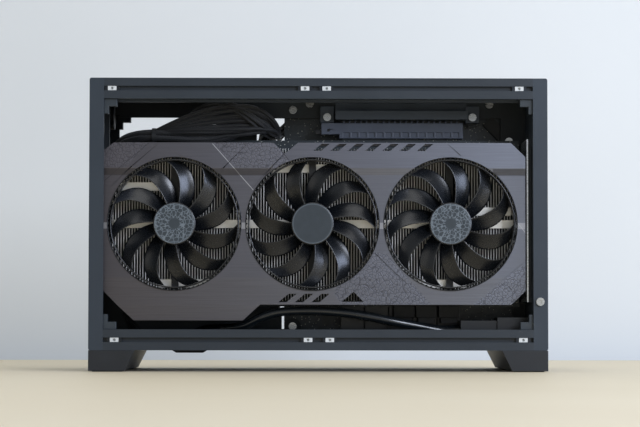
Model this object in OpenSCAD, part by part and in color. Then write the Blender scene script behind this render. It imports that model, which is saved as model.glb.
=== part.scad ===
// Sandwich computer case with both side skins off, showing its graphics card.
// X runs from the front (-) to the rear (+), the open card side faces -Y, Z is up.

/* [Case] */
// Length of the frame from front to rear
case_l = 322; // [320:1:380]
// Depth of the frame across its two open sides
case_w = 140; // [140:1:170]
// Height of the frame beyond the mainboard
board_over = 21.3; // [21:0.1:50]
// Width of the edge flange of each end panel
post_w = 10.2; // [9:0.1:13]
// Thickness of the front panel's face
front_t = 3; // [2:0.5:4]
// Thickness of the rear panel and of the edge flanges
panel_t = 2; // [1.5:0.1:2.5]
// Radius on the outer corners of the end panels
corner_r = 1.5; // [0.5:0.1:2.5]

/* [Rails] */
// Height of a rail
rail_h = 14.6; // [12:0.1:16]
// Depth of a rail
rail_d = 10; // [8:0.5:12]
// Mouth of the clip slot in a rail
slot_w = 3.2; // [2.6:0.1:4]
// Thickness of the top and bottom skins
skin_t = 2; // [1.5:0.1:2.5]
// Length of a panel clip
clip_l = 10; // [8:0.5:12]
// Gap between a clip and the end of its half skin
clip_gap = 2.6; // [2:0.1:12]

/* [Feet] */
// Height of the feet
foot_h = 15; // [13:0.5:20]
// Length of a foot where it meets the table
foot_l = 25.3; // [20:0.1:35]
// How far the inner side of a foot slopes out
foot_slope = 7.2; // [3:0.1:10]
// Thickness of the rubber pads under the feet
pad_t = 1.2; // [0.8:0.1:2]

/* [Spine and board] */
// Gap between the card and the spine plate
card_gap = 2.3; // [2:0.1:8]
// Thickness of the spine plate
spine_t = 2; // [1.5:0.1:2.5]
// Side of the square mainboard
board_l = 170; // [170:1:190]
// Distance from the front edge of the mainboard to its card slot
slot_in = 39.9; // [36:0.1:60]
// Thickness of the mainboard
board_t = 1.6; // [1.4:0.1:2]
// Length of a mainboard standoff
standoff_h = 5.5; // [4:0.1:6.5]
// Distance from a mainboard hole to the edge of the board
hole_in = 6.26; // [5:0.01:8]
// Bore of the mainboard holes
hole_d = 3.9; // [3.6:0.1:4.2]

/* [Graphics card] */
// Length of the frame beyond the graphics card
card_room = 24.8; // [24.5:0.1:60]
// Height of the frame beyond the graphics card
card_over = 65.9; // [64:0.1:90]
// Distance from the open card side to the shroud
card_in = 5.5; // [4.5:0.1:8]
// Thickness of the card
card_t = 51.7; // [48:0.1:52]
// Width of the shroud between two fan openings
fan_web = 3.35; // [3:0.05:8]
// Mean width of the shroud beyond the outer fans
shroud_edge = 4.25; // [4:0.05:20]
// Height of the shroud above the fan openings
shroud_over = 10.2; // [9:0.1:20]
// Height of the shroud and its lower skirt below the fan openings
shroud_under = 21.2; // [19:0.1:30]
// Diameter of a fan hub
hub_d = 30; // [26:0.5:34]
// Blades of a card fan
blades = 11; // [7:1:13]
// Thickness of the shroud's wall
shroud_t = 1.8; // [1.4:0.1:2.2]
// Pitch of the cooling fins
fin_pitch = 1.95; // [1.6:0.05:2.4]
// Thickness of a cooling fin
fin_t = 0.5; // [0.3:0.05:0.6]

/* [Power supply] */
// Length of the frame beyond the mainboard and the power supply
back_room = 27; // [26.5:0.5:60]
// Gap between the spine plate and the power supply
psu_gap = 10.5; // [9.5:0.5:20]
// Height of the power supply
psu_h = 100; // [90:1:105]
// Diameter of the power lead
lead_d = 6.4; // [5:0.1:6.6]

/* [Cooler] */
// Frame size of the processor fan
cpu_fan = 92; // [80:1:92]
// Thickness of the processor fan
cpu_fan_t = 15; // [12:0.5:16]

/* [Hidden] */
$fn = 48;

// What the case holds takes its size from the case
psu_back = 4.5;
frame_h = board_l + board_over;
card_l = case_l - card_room;
card_h = frame_h - card_over;
fan_room = card_h - shroud_over - shroud_under;
fan_d = min((card_l - 2 * shroud_edge - 2 * fan_web) / 3, fan_room);
fan_pitch = (card_l - 2 * shroud_edge - fan_d) / 2;
spine_in = card_in + card_t + card_gap;
psu_l = case_l - board_l - back_room;
psu_t = case_w - spine_in - spine_t - psu_gap - psu_back;

// Planes of the frame
xf = -case_l / 2;
xr = case_l / 2;
xi = xf + post_w;
xo = xr - post_w;
yn = -case_w / 2;
yf = case_w / 2;
z0 = foot_h;
z1 = foot_h + frame_h;
fit = 0.2;
play = 0.3;
eps = 0.01;

// Rail section
slot_lip = 1.4;
slot_deep = 3.4;
slot_wide = 5.6;
ledge = 2.4;
ledge_t = 1.6;
lip_h = 1.8;
lip_t = 1.4;
screw_ys = [yn + rail_d / 2 + 1, yf - rail_d / 2 - 1];
foot_screw_xs = [xf + foot_l / 2 + 6, xr - foot_l / 2 - 6];
foot_screw_ys = [yn + 7, yf - 7];
screw_d = 3;
head_d = 5.7;
head_h = 1.7;

// Clip places along the rails
clip_in = clip_gap + clip_l / 2;
clip_shift_top = -1.95;
clip_shift_bottom = 0.4;
clip_cup = 6;

// Spine, board and their holes
spine_y = yn + spine_in;
spine_back = spine_y + spine_t;
board_y = spine_back + standoff_h;
board_top = board_y + board_t;
board_x1 = xo - 5.3;
board_x0 = board_x1 - board_l;
board_z0 = z0 + 10.5;
hole_drop = 22.86;
hole_spots = [[board_x0 + hole_in, board_z0 + board_l - hole_in],
              [board_x0 + hole_in, board_z0 + hole_in],
              [board_x1 - hole_in, board_z0 + board_l - hole_in - hole_drop],
              [board_x1 - hole_in, board_z0 + hole_in]];

// Card planes
bracket_t = 1;
bracket_seat = 2.9;
bracket_x1 = xo - bracket_seat;
bracket_x0 = bracket_x1 - bracket_t;
fan_shift = 1.45;
card_x1 = bracket_x0 - 1;
card_x0 = card_x1 - card_l;
card_z1 = z1 - 45;
card_z0 = card_z1 - card_h;
card_low = card_z0 + 11.2;
card_y0 = yn + card_in;
card_y1 = card_y0 + card_t;
fan_z = card_z0 + shroud_under + fan_room / 2;
fan_mid = card_x0 + card_l / 2 - fan_shift;
fan_xs = [fan_mid - fan_pitch, fan_mid, fan_mid + fan_pitch];
fan_gap = 1.5;
shaft_d = 3;
bearing_gap = 0.05;
rotor_back = card_y0 + 11.5;
skirt_y = card_y0 + 13;
fin_y0 = card_y0 + 18;
card_pcb_y = card_y1 - 4.6;
fin_y1 = card_pcb_y - 0.3;
pipe_w = 5.8;
pcb_z1 = card_z1 + 5.2;
finger_x0 = board_x0 + slot_in + 1.8;
finger_x1 = finger_x0 + 86;

// Riser planes
mouth_z = pcb_z1 + 1.2;
socket_x0 = finger_x0 - 1.8;
socket_x1 = finger_x1 + 1.8;
socket_h = 11.2;
socket_y = card_pcb_y + 0.8;
riser_z = mouth_z + socket_h + 2;
ribbon_t = 1;
ribbon_y = spine_y - 0.3 - ribbon_t;
strip_n = 5;

// Power supply planes
psu_x0 = xf + 8.2;
psu_x1 = psu_x0 + psu_l;
psu_z0 = z0 + 25.6;
psu_z1 = psu_z0 + psu_h;
psu_y1 = yf - psu_back;
psu_y0 = psu_y1 - psu_t;
psu_fan_d = 80;
plug_x = psu_x0 + 58;
plug_y = psu_y0 + 31;
plug_w = 26.4;
plug_d = 17;
plug_low = z0 - 3;
plug_end = 50;
inlet_y = yn + 29;
inlet_z = z0 + 13.6;
inlet_w = 27;
inlet_h = 19.5;
inlet_in = 24;
power_xs = [for (i = [0:2]) card_x1 - 84.1 + i * 16.3];
plug_24 = [board_x0 + 5.8, board_top + 23.4, board_z0 + 84];
plug_8 = [board_x1 - 34, board_top + 23.4, board_z0 + board_l - 9.5];

// Cooler planes
cpu_x = board_x0 + 84;
cpu_z = board_z0 + 96;
cooler_y0 = board_top + 5;
cooler_y1 = yf - 3 - cpu_fan_t;

// Routes of the cords, each a list of points chosen by hand
lead_route = [[plug_x, plug_y - plug_d / 2, 20], [plug_x, 14, 20], [-94, 2, 21.6],
              [-92, -8, 23.8], [-87, -18, 27.2], [-80, -27, 29.4], [-70, -35, 30],
              [-60, -41, 30.6], [-51, -46, 32.4], [-42, -49, 37.4], [-29, -50, 41.6],
              [-13, -50, 42.8], [4, -50, 42.6], [20, -50, 41.2], [36, -50, 38.6],
              [54, -49, 35], [72, -45, 31.6], [88, inlet_y, inlet_z], [xo - plug_end, inlet_y, inlet_z]];
loom_low = [[-134, 20, psu_z1], [-134, 20, psu_z1 + 4.4], [-137, 14, psu_z1 + 10], [-142, 2, 157],
            [-144, -11, 162], [-138, -21, 165.5], [-129, -27, 167.4], [-118, -29, 168],
            [-104, -29, 167.6], [-90, -28, 166.6], [-76, -27, 167], [-64, -27, 170.5],
            [-53, -24, 176], [-43, -19, 178], [-37.5, -11, 177], [-37, -3, 175], [-38, 4, 171.5],
            [-39, 12, 164.5], [-37, 25, 154.5], [-28, 31, 149.5], [-20.5, 34, 141.5], [plug_24[0], 35, 131],
            [plug_24[0], 33, 121.5], [plug_24[0], 28.5, 117], [plug_24[0], plug_24[1], 117]];
loom_high = [[-112, 22, psu_z1], [-112, 22, psu_z1 + 4.4], [-109, 13, psu_z1 + 12.4],
             [-104, -2, 168], [-97, -14, 178], [-85, -25, 187], [-70, -32, 190],
             [-58, -35, 187], [-48, -34.5, 180.5], [-40.5, -30, 175], [-35.5, -22, 171.5],
             [-31, -12, 170.6], [-29.5, 0, 170.6], [-23, 9, 178],
             [-10, 14, 189], [10, 15, 193], [40, 15, 193.5], [74, 16, 193],
             [96, 21, 192.4], [106, 28, 190.5], [plug_8[0], 28, plug_8[2]],
             [plug_8[0], plug_8[1], plug_8[2]]];
loom_back = [[-60, 30, psu_z1], [-60, 30, psu_z1 + 4.4], [-57, 33, 151], [-48, 38, 155],
             [-36, 43, 154], [-25, 45, 147], [-20.5, 45, 137], [-20, 45, 126], [-19.5, 41, 109],
             [plug_24[0], 34, 100], [plug_24[0], 28, 96], [plug_24[0], plug_24[1], 96]];
card_loom = [[power_xs[1], card_pcb_y - 4, card_low - 13], [power_xs[1], card_pcb_y - 4, 30],
             [75, -22.6, 25], [68, -24.6, 22], [56, -26.5, 21.2], [34, -28, 21.2],
             [4, -28, 21.2], [-32, -28, 21.2], [-68, -27, 21.2], [-100, -25, 21.2],
             [-122, -20, 23.4], [-135, -14.4, 33], [-139, -14.1, 52], [-139, -14.1, 84],
             [-139, -14.1, 116], [-139, -14.1, 149], [-138, -13.6, 158], [-135, -8, 163.5],
             [-131, -1, 164.5], [-126, 8, 161], [-122, 16, 153], [-121, 20, 146],
             [-121, 20, psu_z1]];

// Helpers
module box(x, y, z) {
    translate([x[0], y[0], z[0]]) cube([x[1] - x[0], y[1] - y[0], z[1] - z[0]]);
}
module along_x(x0, x1) {
    translate([x0, 0, 0]) rotate([90, 0, 90]) linear_extrude(x1 - x0) children();
}
module along_y(y0, y1) {
    translate([0, y1, 0]) rotate([90, 0, 0]) linear_extrude(y1 - y0) children();
}
module rod_x(x0, x1, y, z, d) {
    translate([x0, y, z]) rotate([0, 90, 0]) cylinder(h = x1 - x0, d = d);
}
module rod_y(x, y0, y1, z, d) {
    translate([x, y1, z]) rotate([90, 0, 0]) cylinder(h = y1 - y0, d = d);
}
module rod_z(x, y, z0, z1, d) {
    translate([x, y, z0]) cylinder(h = z1 - z0, d = d);
}
module both_y() {
    children();
    mirror([0, 1, 0]) children();
}
module oblong(l, w) {
    square([l - w, w], center = true);
    for (s = [-1, 1]) translate([s * (l - w) / 2, 0]) circle(d = w);
}
// What is cut away to round one outer edge that runs along Y
module edge_cut(x, z, sx, sz, r) {
    translate([x, 0, z]) difference() {
        box([min(0, -sx * r) - eps, max(0, -sx * r) + eps], [yn - 1, yf + 1],
            [min(0, -sz * r) - eps, max(0, -sz * r) + eps]);
        translate([-sx * r, 0, -sz * r]) rod_y(0, yn - 2, yf + 2, 0, 2 * r);
        translate([-sx * r, 0, -sz * r])
            box([min(0, -sx * 2 * r), max(0, -sx * 2 * r)], [yn - 2, yf + 2],
                [min(0, -sz * 2 * r), max(0, -sz * 2 * r)]);
    }
}
// A button-head screw whose head rests on the plane y and points to the card side
module button_screw(x, y, z, l) {
    difference() {
        union() {
            rod_y(x, y - head_h, y, z, head_d);
            rod_y(x, y, y + l, z, screw_d);
        }
        translate([x, y - head_h + 1, z]) rotate([90, 0, 0]) cylinder(h = 2, d = 2.4, $fn = 6);
    }
}
function unit(v) = v / norm(v);
function tangents(p) = [for (i = [0:len(p) - 1])
    unit(p[min(i + 1, len(p) - 1)] - p[max(i - 1, 0)])];
function carry(t, i, n) = i >= len(t) ? [] :
    let (m = unit(n - (n * t[i]) * t[i])) concat([m], carry(t, i + 1, m));
function ring_faces(rings, sides) = concat(
    [for (i = [0:rings - 2], j = [0:sides - 1]) let (k = (j + 1) % sides)
        [i * sides + j, i * sides + k, (i + 1) * sides + k]],
    [for (i = [0:rings - 2], j = [0:sides - 1]) let (k = (j + 1) % sides)
        [i * sides + j, (i + 1) * sides + k, (i + 1) * sides + j]],
    [[for (j = [sides - 1:-1:0]) j]],
    [[for (j = [0:sides - 1]) (rings - 1) * sides + j]]);
// A round cord swept along its route
module cord(p, d, sides) {
    t = tangents(p);
    n = carry(t, 0, [0.3, 0.2, 0.93]);
    points = [for (i = [0:len(p) - 1], j = [0:sides - 1]) let (a = 360 * j / sides)
        p[i] + d / 2 * (cos(a) * n[i] + sin(a) * cross(t[i], n[i]))];
    polyhedron(points, [for (f = ring_faces(len(p), sides)) [for (k = [len(f) - 1:-1:0]) f[k]]]);
}
// One fan blade from radius r0 to r1 in the plane of X and Z, between y0 and y1
module blade(r0, r1, sweep, width0, width1, y0, y1, t) {
    n = 6;
    m = 3;
    points = [for (i = [0:n], side = [0, 1], j = [0:m]) let (
        u = i / n,
        v = side == 0 ? j / m : 1 - j / m,
        r = r0 + (r1 - r0) * u,
        w = width0 + (width1 - width0) * u,
        a = -sweep * pow(u, 1.2) - w * (0.5 - v),
        y = y0 + (y1 - y0) * (v + 0.16 * sin(180 * v)) + (side == 0 ? 0 : t))
        [r * cos(a), y, r * sin(a)]];
    polyhedron(points, ring_faces(n + 1, 2 * (m + 1)));
}

// End panels
module front_panel() {
    color("#3d4853") difference() {
        box([xf, xi], [yn, yf], [z0, z1]);
        box([xf + front_t, xi + 1], [yn + panel_t, yf - panel_t], [z0 + panel_t, z1 - panel_t]);
        edge_cut(xf, z1, -1, 1, corner_r);
        edge_cut(xf, z0, -1, -1, corner_r);
        along_x(xf - 1, xf + front_t + 1) for (i = [-4:4], j = [-1, 1])
            translate([i * 9, (z0 + z1) / 2 + j * 26]) rotate(90) oblong(42, 4);
        rod_x(xf - 1, xf + front_t + 1, button_y, button_z, button_d + 2 * play);
        for (y = screw_ys, z = [z0 + rail_h / 2, z1 - rail_h / 2]) {
            rod_x(xf - 1, xf + front_t + 1, y, z, screw_d + 2 * fit);
            rod_x(xf - 1, xf + head_h, y, z, head_d + 2 * fit);
        }
    }
}
io_z0 = board_z0 + 8;
io_z1 = board_z0 + board_l - 4;
io_y1 = board_top + 40;
vent_l = (yf - io_y1 - 2 * panel_t) / 2;
vent_y = (yf + io_y1) / 2 + 2.7;
window_z0 = card_low + 8;
window_z1 = card_z1 - 4;
module rear_panel() {
    color("#414a54") difference() {
        union() {
            box([xo, xr], [yn, yf], [z0, z1]);
            box([bracket_x1, xo + eps], [card_y0 + 8, card_y1 - 0.4], [bracket_z0, bracket_z1]);
        }
        box([xo + panel_t, xr + 1], [yn + panel_t, yf - panel_t], [z0 + panel_t, z1 - panel_t]);
        edge_cut(xr, z1, 1, 1, corner_r);
        edge_cut(xr, z0, 1, -1, corner_r);
        box([bracket_x1 - 1, xo + panel_t + 1], [card_y0 + 9.6, card_y1 - 1], [window_z0, window_z1]);
        box([xo - 1, xo + panel_t + 1], [board_top - 2, io_y1], [io_z0, io_z1]);
        box([xo - 1, xo + panel_t + 1], [inlet_y - inlet_w / 2, inlet_y + inlet_w / 2],
            [inlet_z - inlet_h / 2, inlet_z + inlet_h / 2]);
        along_x(xo - 1, xo + panel_t + 1) for (i = [0:10])
            translate([vent_y, z0 + 40 + i * 11]) oblong(vent_l, 4);
        both_y() rod_y(xo + post_w * 0.46, yn - 1, yn + panel_t + 1, post_screw_z,
                       screw_d + 2 * fit);
        for (y = screw_ys, z = [z0 + rail_h / 2, z1 - rail_h / 2])
            rod_x(xo - 1, xo + panel_t + 1, y, z, screw_d + 2 * fit);
    }
}
post_screw_z = z0 + 34.2;
button_d = 12;
button_y = yf - 25;
button_z = z1 - 17;
button_travel = 1.2;

// Rails
function rail_points(lip) = let (m = rail_h / 2) [
    [0, 0], [0, m - slot_w / 2], [slot_lip, m - slot_w / 2], [slot_lip, m - slot_wide / 2],
    [slot_deep, m - slot_wide / 2], [slot_deep, m + slot_wide / 2],
    [slot_lip, m + slot_wide / 2], [slot_lip, m + slot_w / 2], [0, m + slot_w / 2],
    [0, rail_h], [rail_d, rail_h], [rail_d, rail_h - skin_t], [rail_d + ledge, rail_h - skin_t],
    [rail_d + ledge, rail_h - skin_t - ledge_t], [rail_d, rail_h - skin_t - ledge_t],
    [rail_d, -lip], [rail_d - lip_t, -lip], [rail_d - lip_t, 0]];
module rail_body(lip) {
    difference() {
        union() {
            along_x(xi, xo) polygon(rail_points(lip));
            box([xf + front_t, xi + eps], [slot_deep + 0.6, rail_d - 1],
                [1, rail_h - panel_t - fit]);
        }
        rod_x(xf, xi + 12, rail_d / 2 + 1, rail_h / 2, screw_d + 2 * fit);
        rod_x(xo - 14, xo + 1, rail_d / 2 + 1, rail_h / 2, screw_d + 2 * fit);
    }
}
module rail_top() {
    translate([0, yn, z1 - rail_h]) rail_body(lip_h);
}
module rail_bottom() {
    difference() {
        translate([0, yn, z0 + rail_h]) mirror([0, 0, 1]) rail_body(0);
        for (x = foot_screw_xs) rod_z(x, foot_screw_ys[0], z0 - 1, z0 + 5, screw_d + 2 * fit);
    }
}
module rail_top_near() {
    color("#4a5057") rail_top();
}
module rail_top_far() {
    color("#3c4248") mirror([0, 1, 0]) rail_top();
}
module rail_bottom_near() {
    color("#565c63") rail_bottom();
}
module rail_bottom_far() {
    color("#3c4248") mirror([0, 1, 0]) rail_bottom();
}

// Stepped blocks in the eight inner corners
bracket_leg = 10.6;
module corner_block() {
    box([xi, xi + 3], [yn + panel_t, yn + rail_d - lip_t - fit], [0, bracket_leg]);
    box([xi, xi + 9], [yn + panel_t, yn + rail_d - lip_t - fit], [0, bracket_leg / 2]);
}
module corner_brackets() {
    color("#2b2f33") both_y() for (m = [0, 1]) mirror([m, 0, 0]) {
        translate([0, 0, z0 + rail_h]) corner_block();
        translate([0, 0, z1 - rail_h]) mirror([0, 0, 1]) corner_block();
    }
}

// Screws that hold the end panels, the post and the feet
module end_screw(x, y, z, s) {
    translate([x, y, z]) rotate([0, s * 90, 0]) difference() {
        union() {
            cylinder(h = head_h, d = head_d);
            translate([0, 0, -12]) cylinder(h = 12 + eps, d = screw_d);
        }
        translate([0, 0, 0.7]) cylinder(h = 2, d = 2.4, $fn = 6);
    }
}
module case_screws() {
    color("#c9ccce") {
        for (y = screw_ys, z = [z0 + rail_h / 2, z1 - rail_h / 2]) {
            end_screw(xf + head_h, y, z, -1);
            end_screw(xo + panel_t, y, z, 1);
        }
        both_y() button_screw(xo + post_w * 0.46, yn, post_screw_z, 4);
        for (x = foot_screw_xs, y = foot_screw_ys)
            difference() {
                union() {
                    rod_z(x, y, 6, z0 + 4.5, screw_d);
                    rod_z(x, y, 6 - head_h, 6, head_d);
                }
                translate([x, y, 6 - head_h - 1]) cylinder(h = 2, d = 2.4, $fn = 6);
            }
    }
}

// Clips that hold the side skins
module clip_row(shift) {
    for (x = [clip_in - xo, -clip_in, clip_in, xo - clip_in])
        translate([x + shift, 0, 0]) children();
}
module clip_rows() {
    both_y() {
        translate([0, yn, z1 - rail_h / 2]) clip_row(clip_shift_top) children();
        translate([0, yn, z0 + rail_h / 2]) clip_row(clip_shift_bottom) children();
    }
}
module panel_clips() {
    color("#d8dadb") clip_rows() difference() {
        box([-clip_cup / 2, clip_cup / 2], [0.3, slot_deep - 0.5],
            [-slot_w / 2 + 0.1, slot_w / 2 - 0.1]);
        rod_y(0, -1, slot_deep - 1, 0, 2);
    }
}
module clip_springs() {
    color("#55585b") clip_rows() {
        for (s = [-1, 1])
            box([s > 0 ? clip_cup / 2 : -clip_l / 2, s > 0 ? clip_l / 2 : -clip_cup / 2],
                [0.7, slot_deep - 0.5], [-slot_w / 2 + 0.1, slot_w / 2 - 0.1]);
        box([-clip_l / 2, clip_l / 2], [slot_deep - 0.5, slot_deep],
            [-slot_wide / 2 + 0.3, slot_wide / 2 - 0.3]);
    }
}

// Feet and pads
module foot() {
    difference() {
        along_y(yn, yf) polygon([[xf, pad_t / 2], [xf + foot_l, pad_t / 2],
                                 [xf + foot_l + foot_slope, z0], [xf, z0]]);
        for (s = [-1, 1])
            box([xf + 2, xf + foot_l - 2], [s * case_w / 4 - 28, s * case_w / 4 + 28],
                [-1, pad_t]);
        for (y = foot_screw_ys) {
            rod_z(foot_screw_xs[0], y, -1, 6, head_d + 1);
            rod_z(foot_screw_xs[0], y, 0, z0 + 1, screw_d + 2 * fit);
        }
    }
}
module foot_front() {
    color("#2c3036") foot();
}
module foot_rear() {
    color("#2c3036") mirror([1, 0, 0]) foot();
}
module foot_pads() {
    color("#1a1b1c") for (m = [0, 1]) mirror([m, 0, 0]) for (s = [-1, 1])
        box([xf + 2 + fit, xf + foot_l - 2 - fit],
            [s * case_w / 4 - 28 + fit, s * case_w / 4 + 28 - fit], [0, pad_t]);
}

// Vented top and bottom skins between the rails
skin_y = case_w / 2 - rail_d - fit;
module skin_vents(x0, x1, y0, y1) {
    rows = floor((y1 - y0) / 9);
    cols = floor((x1 - x0) / 30);
    for (i = [0:cols - 1], j = [0:rows - 1])
        translate([x0 + (i + 0.5) * (x1 - x0) / cols, y0 + (j + 0.5) * (y1 - y0) / rows])
            oblong(24, 4);
}
module top_skin() {
    color("#363c42") translate([0, 0, z1 - skin_t]) linear_extrude(skin_t) difference() {
        translate([xi + fit, -skin_y]) square([xo - xi - 2 * fit, 2 * skin_y]);
        skin_vents(xi + 18, xo - 18, -skin_y + 12, skin_y - 12);
    }
}
module bottom_skin() {
    color("#363c42") translate([0, 0, z0]) linear_extrude(skin_t) difference() {
        translate([xi + fit, -skin_y]) square([xo - xi - 2 * fit, 2 * skin_y]);
        translate([plug_x - 20, plug_y - 32]) square([40, 48]);
        skin_vents(plug_x + 32, xo - 34, -skin_y + 12, skin_y - 12);
    }
}

// Spine plate with the board window, its ears and the ribbon slot
strip_z = z1 - 23.1;
window_low = psu_z0 + 0.4;
spine_top = z1 - skin_t - ledge_t - 0.6;
spine_foot = z0 + skin_t;
column_x = board_x1 - 3;
module spine() {
    color("#23272b") spine_plate();
    color("#23272b") for (x = [psu_x0 + 10, psu_x1 - 10], z = [psu_z0 + 8, psu_z1 - 8])
        rod_y(x, spine_back - eps, psu_y0, z, 8);
}
module spine_plate() {
    along_y(spine_y, spine_back) difference() {
        union() {
            difference() {
                translate([xf + front_t, spine_foot])
                    square([xo - xf - front_t, spine_top - spine_foot]);
                translate([xi - 1, psu_z1 + 9.4]) square([board_x0 - xi - 49, z1 - psu_z1]);
                translate([board_x0 - 20, psu_z1 + 9.4])
                    square([40, strip_z - psu_z1 - 9.4]);
                translate([board_x0 - 11, window_low])
                    square([column_x - board_x0 + 11, strip_z - window_low]);
                translate([board_x0 - 1.6, board_z0 + 3])
                    square([column_x - board_x0 + 1.6, window_low + eps - board_z0 - 3]);
            }
            for (p = hole_spots) translate(p) circle(d = 12);
            for (p = hole_spots)
                translate([p[0] - 6, p[1] > board_z0 + 60 ? p[1] : spine_foot])
                    square([12, p[1] > board_z0 + 60 ? strip_z + 2 - min(p[1], strip_z)
                        : p[1] - spine_foot]);
            translate([board_x1 - hole_in, hole_spots[2][1] - 6])
                square([xo - board_x1 + hole_in, 12]);
            for (i = [2, 3]) translate(spine_small[i]) circle(d = 12);
        }
        for (p = hole_spots) translate(p) circle(d = screw_d + 2 * fit);
        for (p = spine_small) translate(p) circle(d = screw_d + 2 * fit);
        translate([plug_x - 20, spine_foot - 1]) square([44, 12]);
        translate([socket_x0 - 2, spine_foot - 1]) square([socket_x1 - socket_x0 + 4, 9]);
        for (i = [0:5]) translate([psu_x0 + 22 + i * 14, psu_z0 + 60]) rotate(90) oblong(60, 6);
    }
}
spine_small = [[finger_x0 - 23.2, strip_z + 10.6], [socket_x1 + 20, strip_z + 10.2],
               [socket_x0 - 8.8, strip_z + 0.2], [socket_x1 + 7.2, strip_z + 0.2]];
module board_standoffs() {
    color("#c7b26a") for (p = hole_spots) difference() {
        translate([p[0], board_y, p[1]]) rotate([90, 0, 0]) cylinder(h = standoff_h, d = 6, $fn = 6);
        rod_y(p[0], spine_back - 1, board_y + 1, p[1], screw_d + 2 * fit);
    }
}
module spine_screws() {
    color("#d2d4d5") {
        for (p = hole_spots) button_screw(p[0], spine_y, p[1], spine_t + 2.4);
        for (i = [0, 1]) button_screw(spine_small[i][0], spine_y, spine_small[i][1], spine_t);
        for (i = [2, 3]) button_screw(spine_small[i][0], spine_y - 6.5, spine_small[i][1], 8);
        for (p = hole_spots) translate([0, 2 * board_top, 0]) mirror([0, 1, 0])
            button_screw(p[0], board_top, p[1], board_t + 2.6);
    }
}

// Mainboard and what is soldered to it
slot_z = board_z0 + 10;
module mainboard() {
    color("#15191c") difference() {
        along_y(board_y, board_top) translate([board_x0, board_z0]) square(board_l);
        for (p = hole_spots) rod_y(p[0], board_y - 1, board_top + 1, p[1], hole_d);
    }
}
dimm_x = board_x0 + 17;
dimm_step = 9.6;
dimm_l = 133.4;
dimm_z0 = board_z0 + board_l - 12.6 - dimm_l;
module board_connectors() {
    color("#1b1c1e") {
        difference() {
            box([socket_x0, socket_x1], [board_top, board_top + 11], [slot_z - 3.8, slot_z + 3.8]);
            box([socket_x0 + 1.6, socket_x1 - 1.6], [board_top + 3, board_top + 12],
                [slot_z - 0.9, slot_z + 0.9]);
        }
        for (i = [0, 1]) difference() {
            box([dimm_x + i * dimm_step - 3.2, dimm_x + i * dimm_step + 3.2],
                [board_top, board_top + 7], [dimm_z0 - 5, dimm_z0 + dimm_l + 5]);
            box([dimm_x + i * dimm_step - 0.8, dimm_x + i * dimm_step + 0.8],
                [board_top + 2, board_top + 8], [dimm_z0 - 0.3, dimm_z0 + dimm_l + 0.3]);
        }
        box([board_x0 + 1, board_x0 + 10.6], [board_top, board_top + 12.8],
            [board_z0 + 58, board_z0 + 110]);
        box([board_x1 - 44, board_x1 - 24], [board_top, board_top + 12.8],
            [board_z0 + board_l - 14, board_z0 + board_l - 5]);
        translate([board_x1 - 16, 0, strip_z - 7]) rotate([0, 45, 0])
            box([-8, 8], [board_y - 4.4, board_y], [-4.5, 4.5]);
    }
}
module board_heatsinks() {
    color("#3a3d42") for (s = [0, 1]) difference() {
        box(s == 0 ? [cpu_x + 30, cpu_x + 44] : [cpu_x - 28, cpu_x + 26],
            [board_top, board_top + (s == 0 ? 17 : 9)],
            s == 0 ? [cpu_z - 40, cpu_z + 44] : [slot_z + 8, slot_z + 30]);
        if (s == 0) for (i = [0:6])
            box([cpu_x + 29, cpu_x + 45], [board_top + 8, board_top + 18],
                [cpu_z - 35 + i * 12, cpu_z - 30 + i * 12]);
        if (s == 1) for (i = [0:3])
            box([cpu_x - 29, cpu_x + 27], [board_top + 6, board_top + 10],
                [slot_z + 11 + i * 4.6, slot_z + 13 + i * 4.6]);
    }
}
port_list = [for (p = [[1, 21, 30], [26, 22, 30], [52, 17, 16], [73, 17, 16], [94, 15, 28],
                       [112, 16, 14], [137, 17, 28]])
    if (p[0] + p[1] + 2 < io_z1 - io_z0 &&
        abs(io_z0 + 1 + p[0] + p[1] / 2 - hole_spots[2][1]) > p[1] / 2 + head_d / 2) p];
module io_ports() {
    color("#a9adb0") {
        difference() {
            box([xo, xo + 0.8], [board_top - 1.8, io_y1 - 0.2], [io_z0 + fit, io_z1 - fit]);
            for (p = port_list)
                box([xo - 1, xo + 2], [board_top + 2.2, board_top + 0.8 + p[2]],
                    [io_z0 + 2.4 + p[0], io_z0 + 1 + p[0] + p[1] - 1.4]);
        }
        for (p = port_list) difference() {
            box([xo - 20, xo], [board_top, board_top + 2 + p[2]],
                [io_z0 + 1 + p[0], io_z0 + 1 + p[0] + p[1]]);
            box([xo - 12, xo + 1], [board_top + 2.2, board_top + 0.8 + p[2]],
                [io_z0 + 2.4 + p[0], io_z0 + 1 + p[0] + p[1] - 1.4]);
        }
    }
}
module memory_modules() {
    color("#24272b") for (i = [0, 1]) difference() {
        union() {
            box([dimm_x + i * dimm_step - 0.6, dimm_x + i * dimm_step + 0.6],
                [board_top + 2.4, board_top + 33], [dimm_z0, dimm_z0 + dimm_l]);
            box([dimm_x + i * dimm_step - 3.2, dimm_x + i * dimm_step + 3.2],
                [board_top + 9.5, board_top + 36], [dimm_z0 + 1, dimm_z0 + dimm_l - 1]);
        }
        for (k = [0:floor((dimm_l - 21) / 20)])
            box([dimm_x + i * dimm_step - 4, dimm_x + i * dimm_step + 4],
                [board_top + 32, board_top + 37], [dimm_z0 + 12 + k * 20, dimm_z0 + 20 + k * 20]);
    }
}

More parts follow.
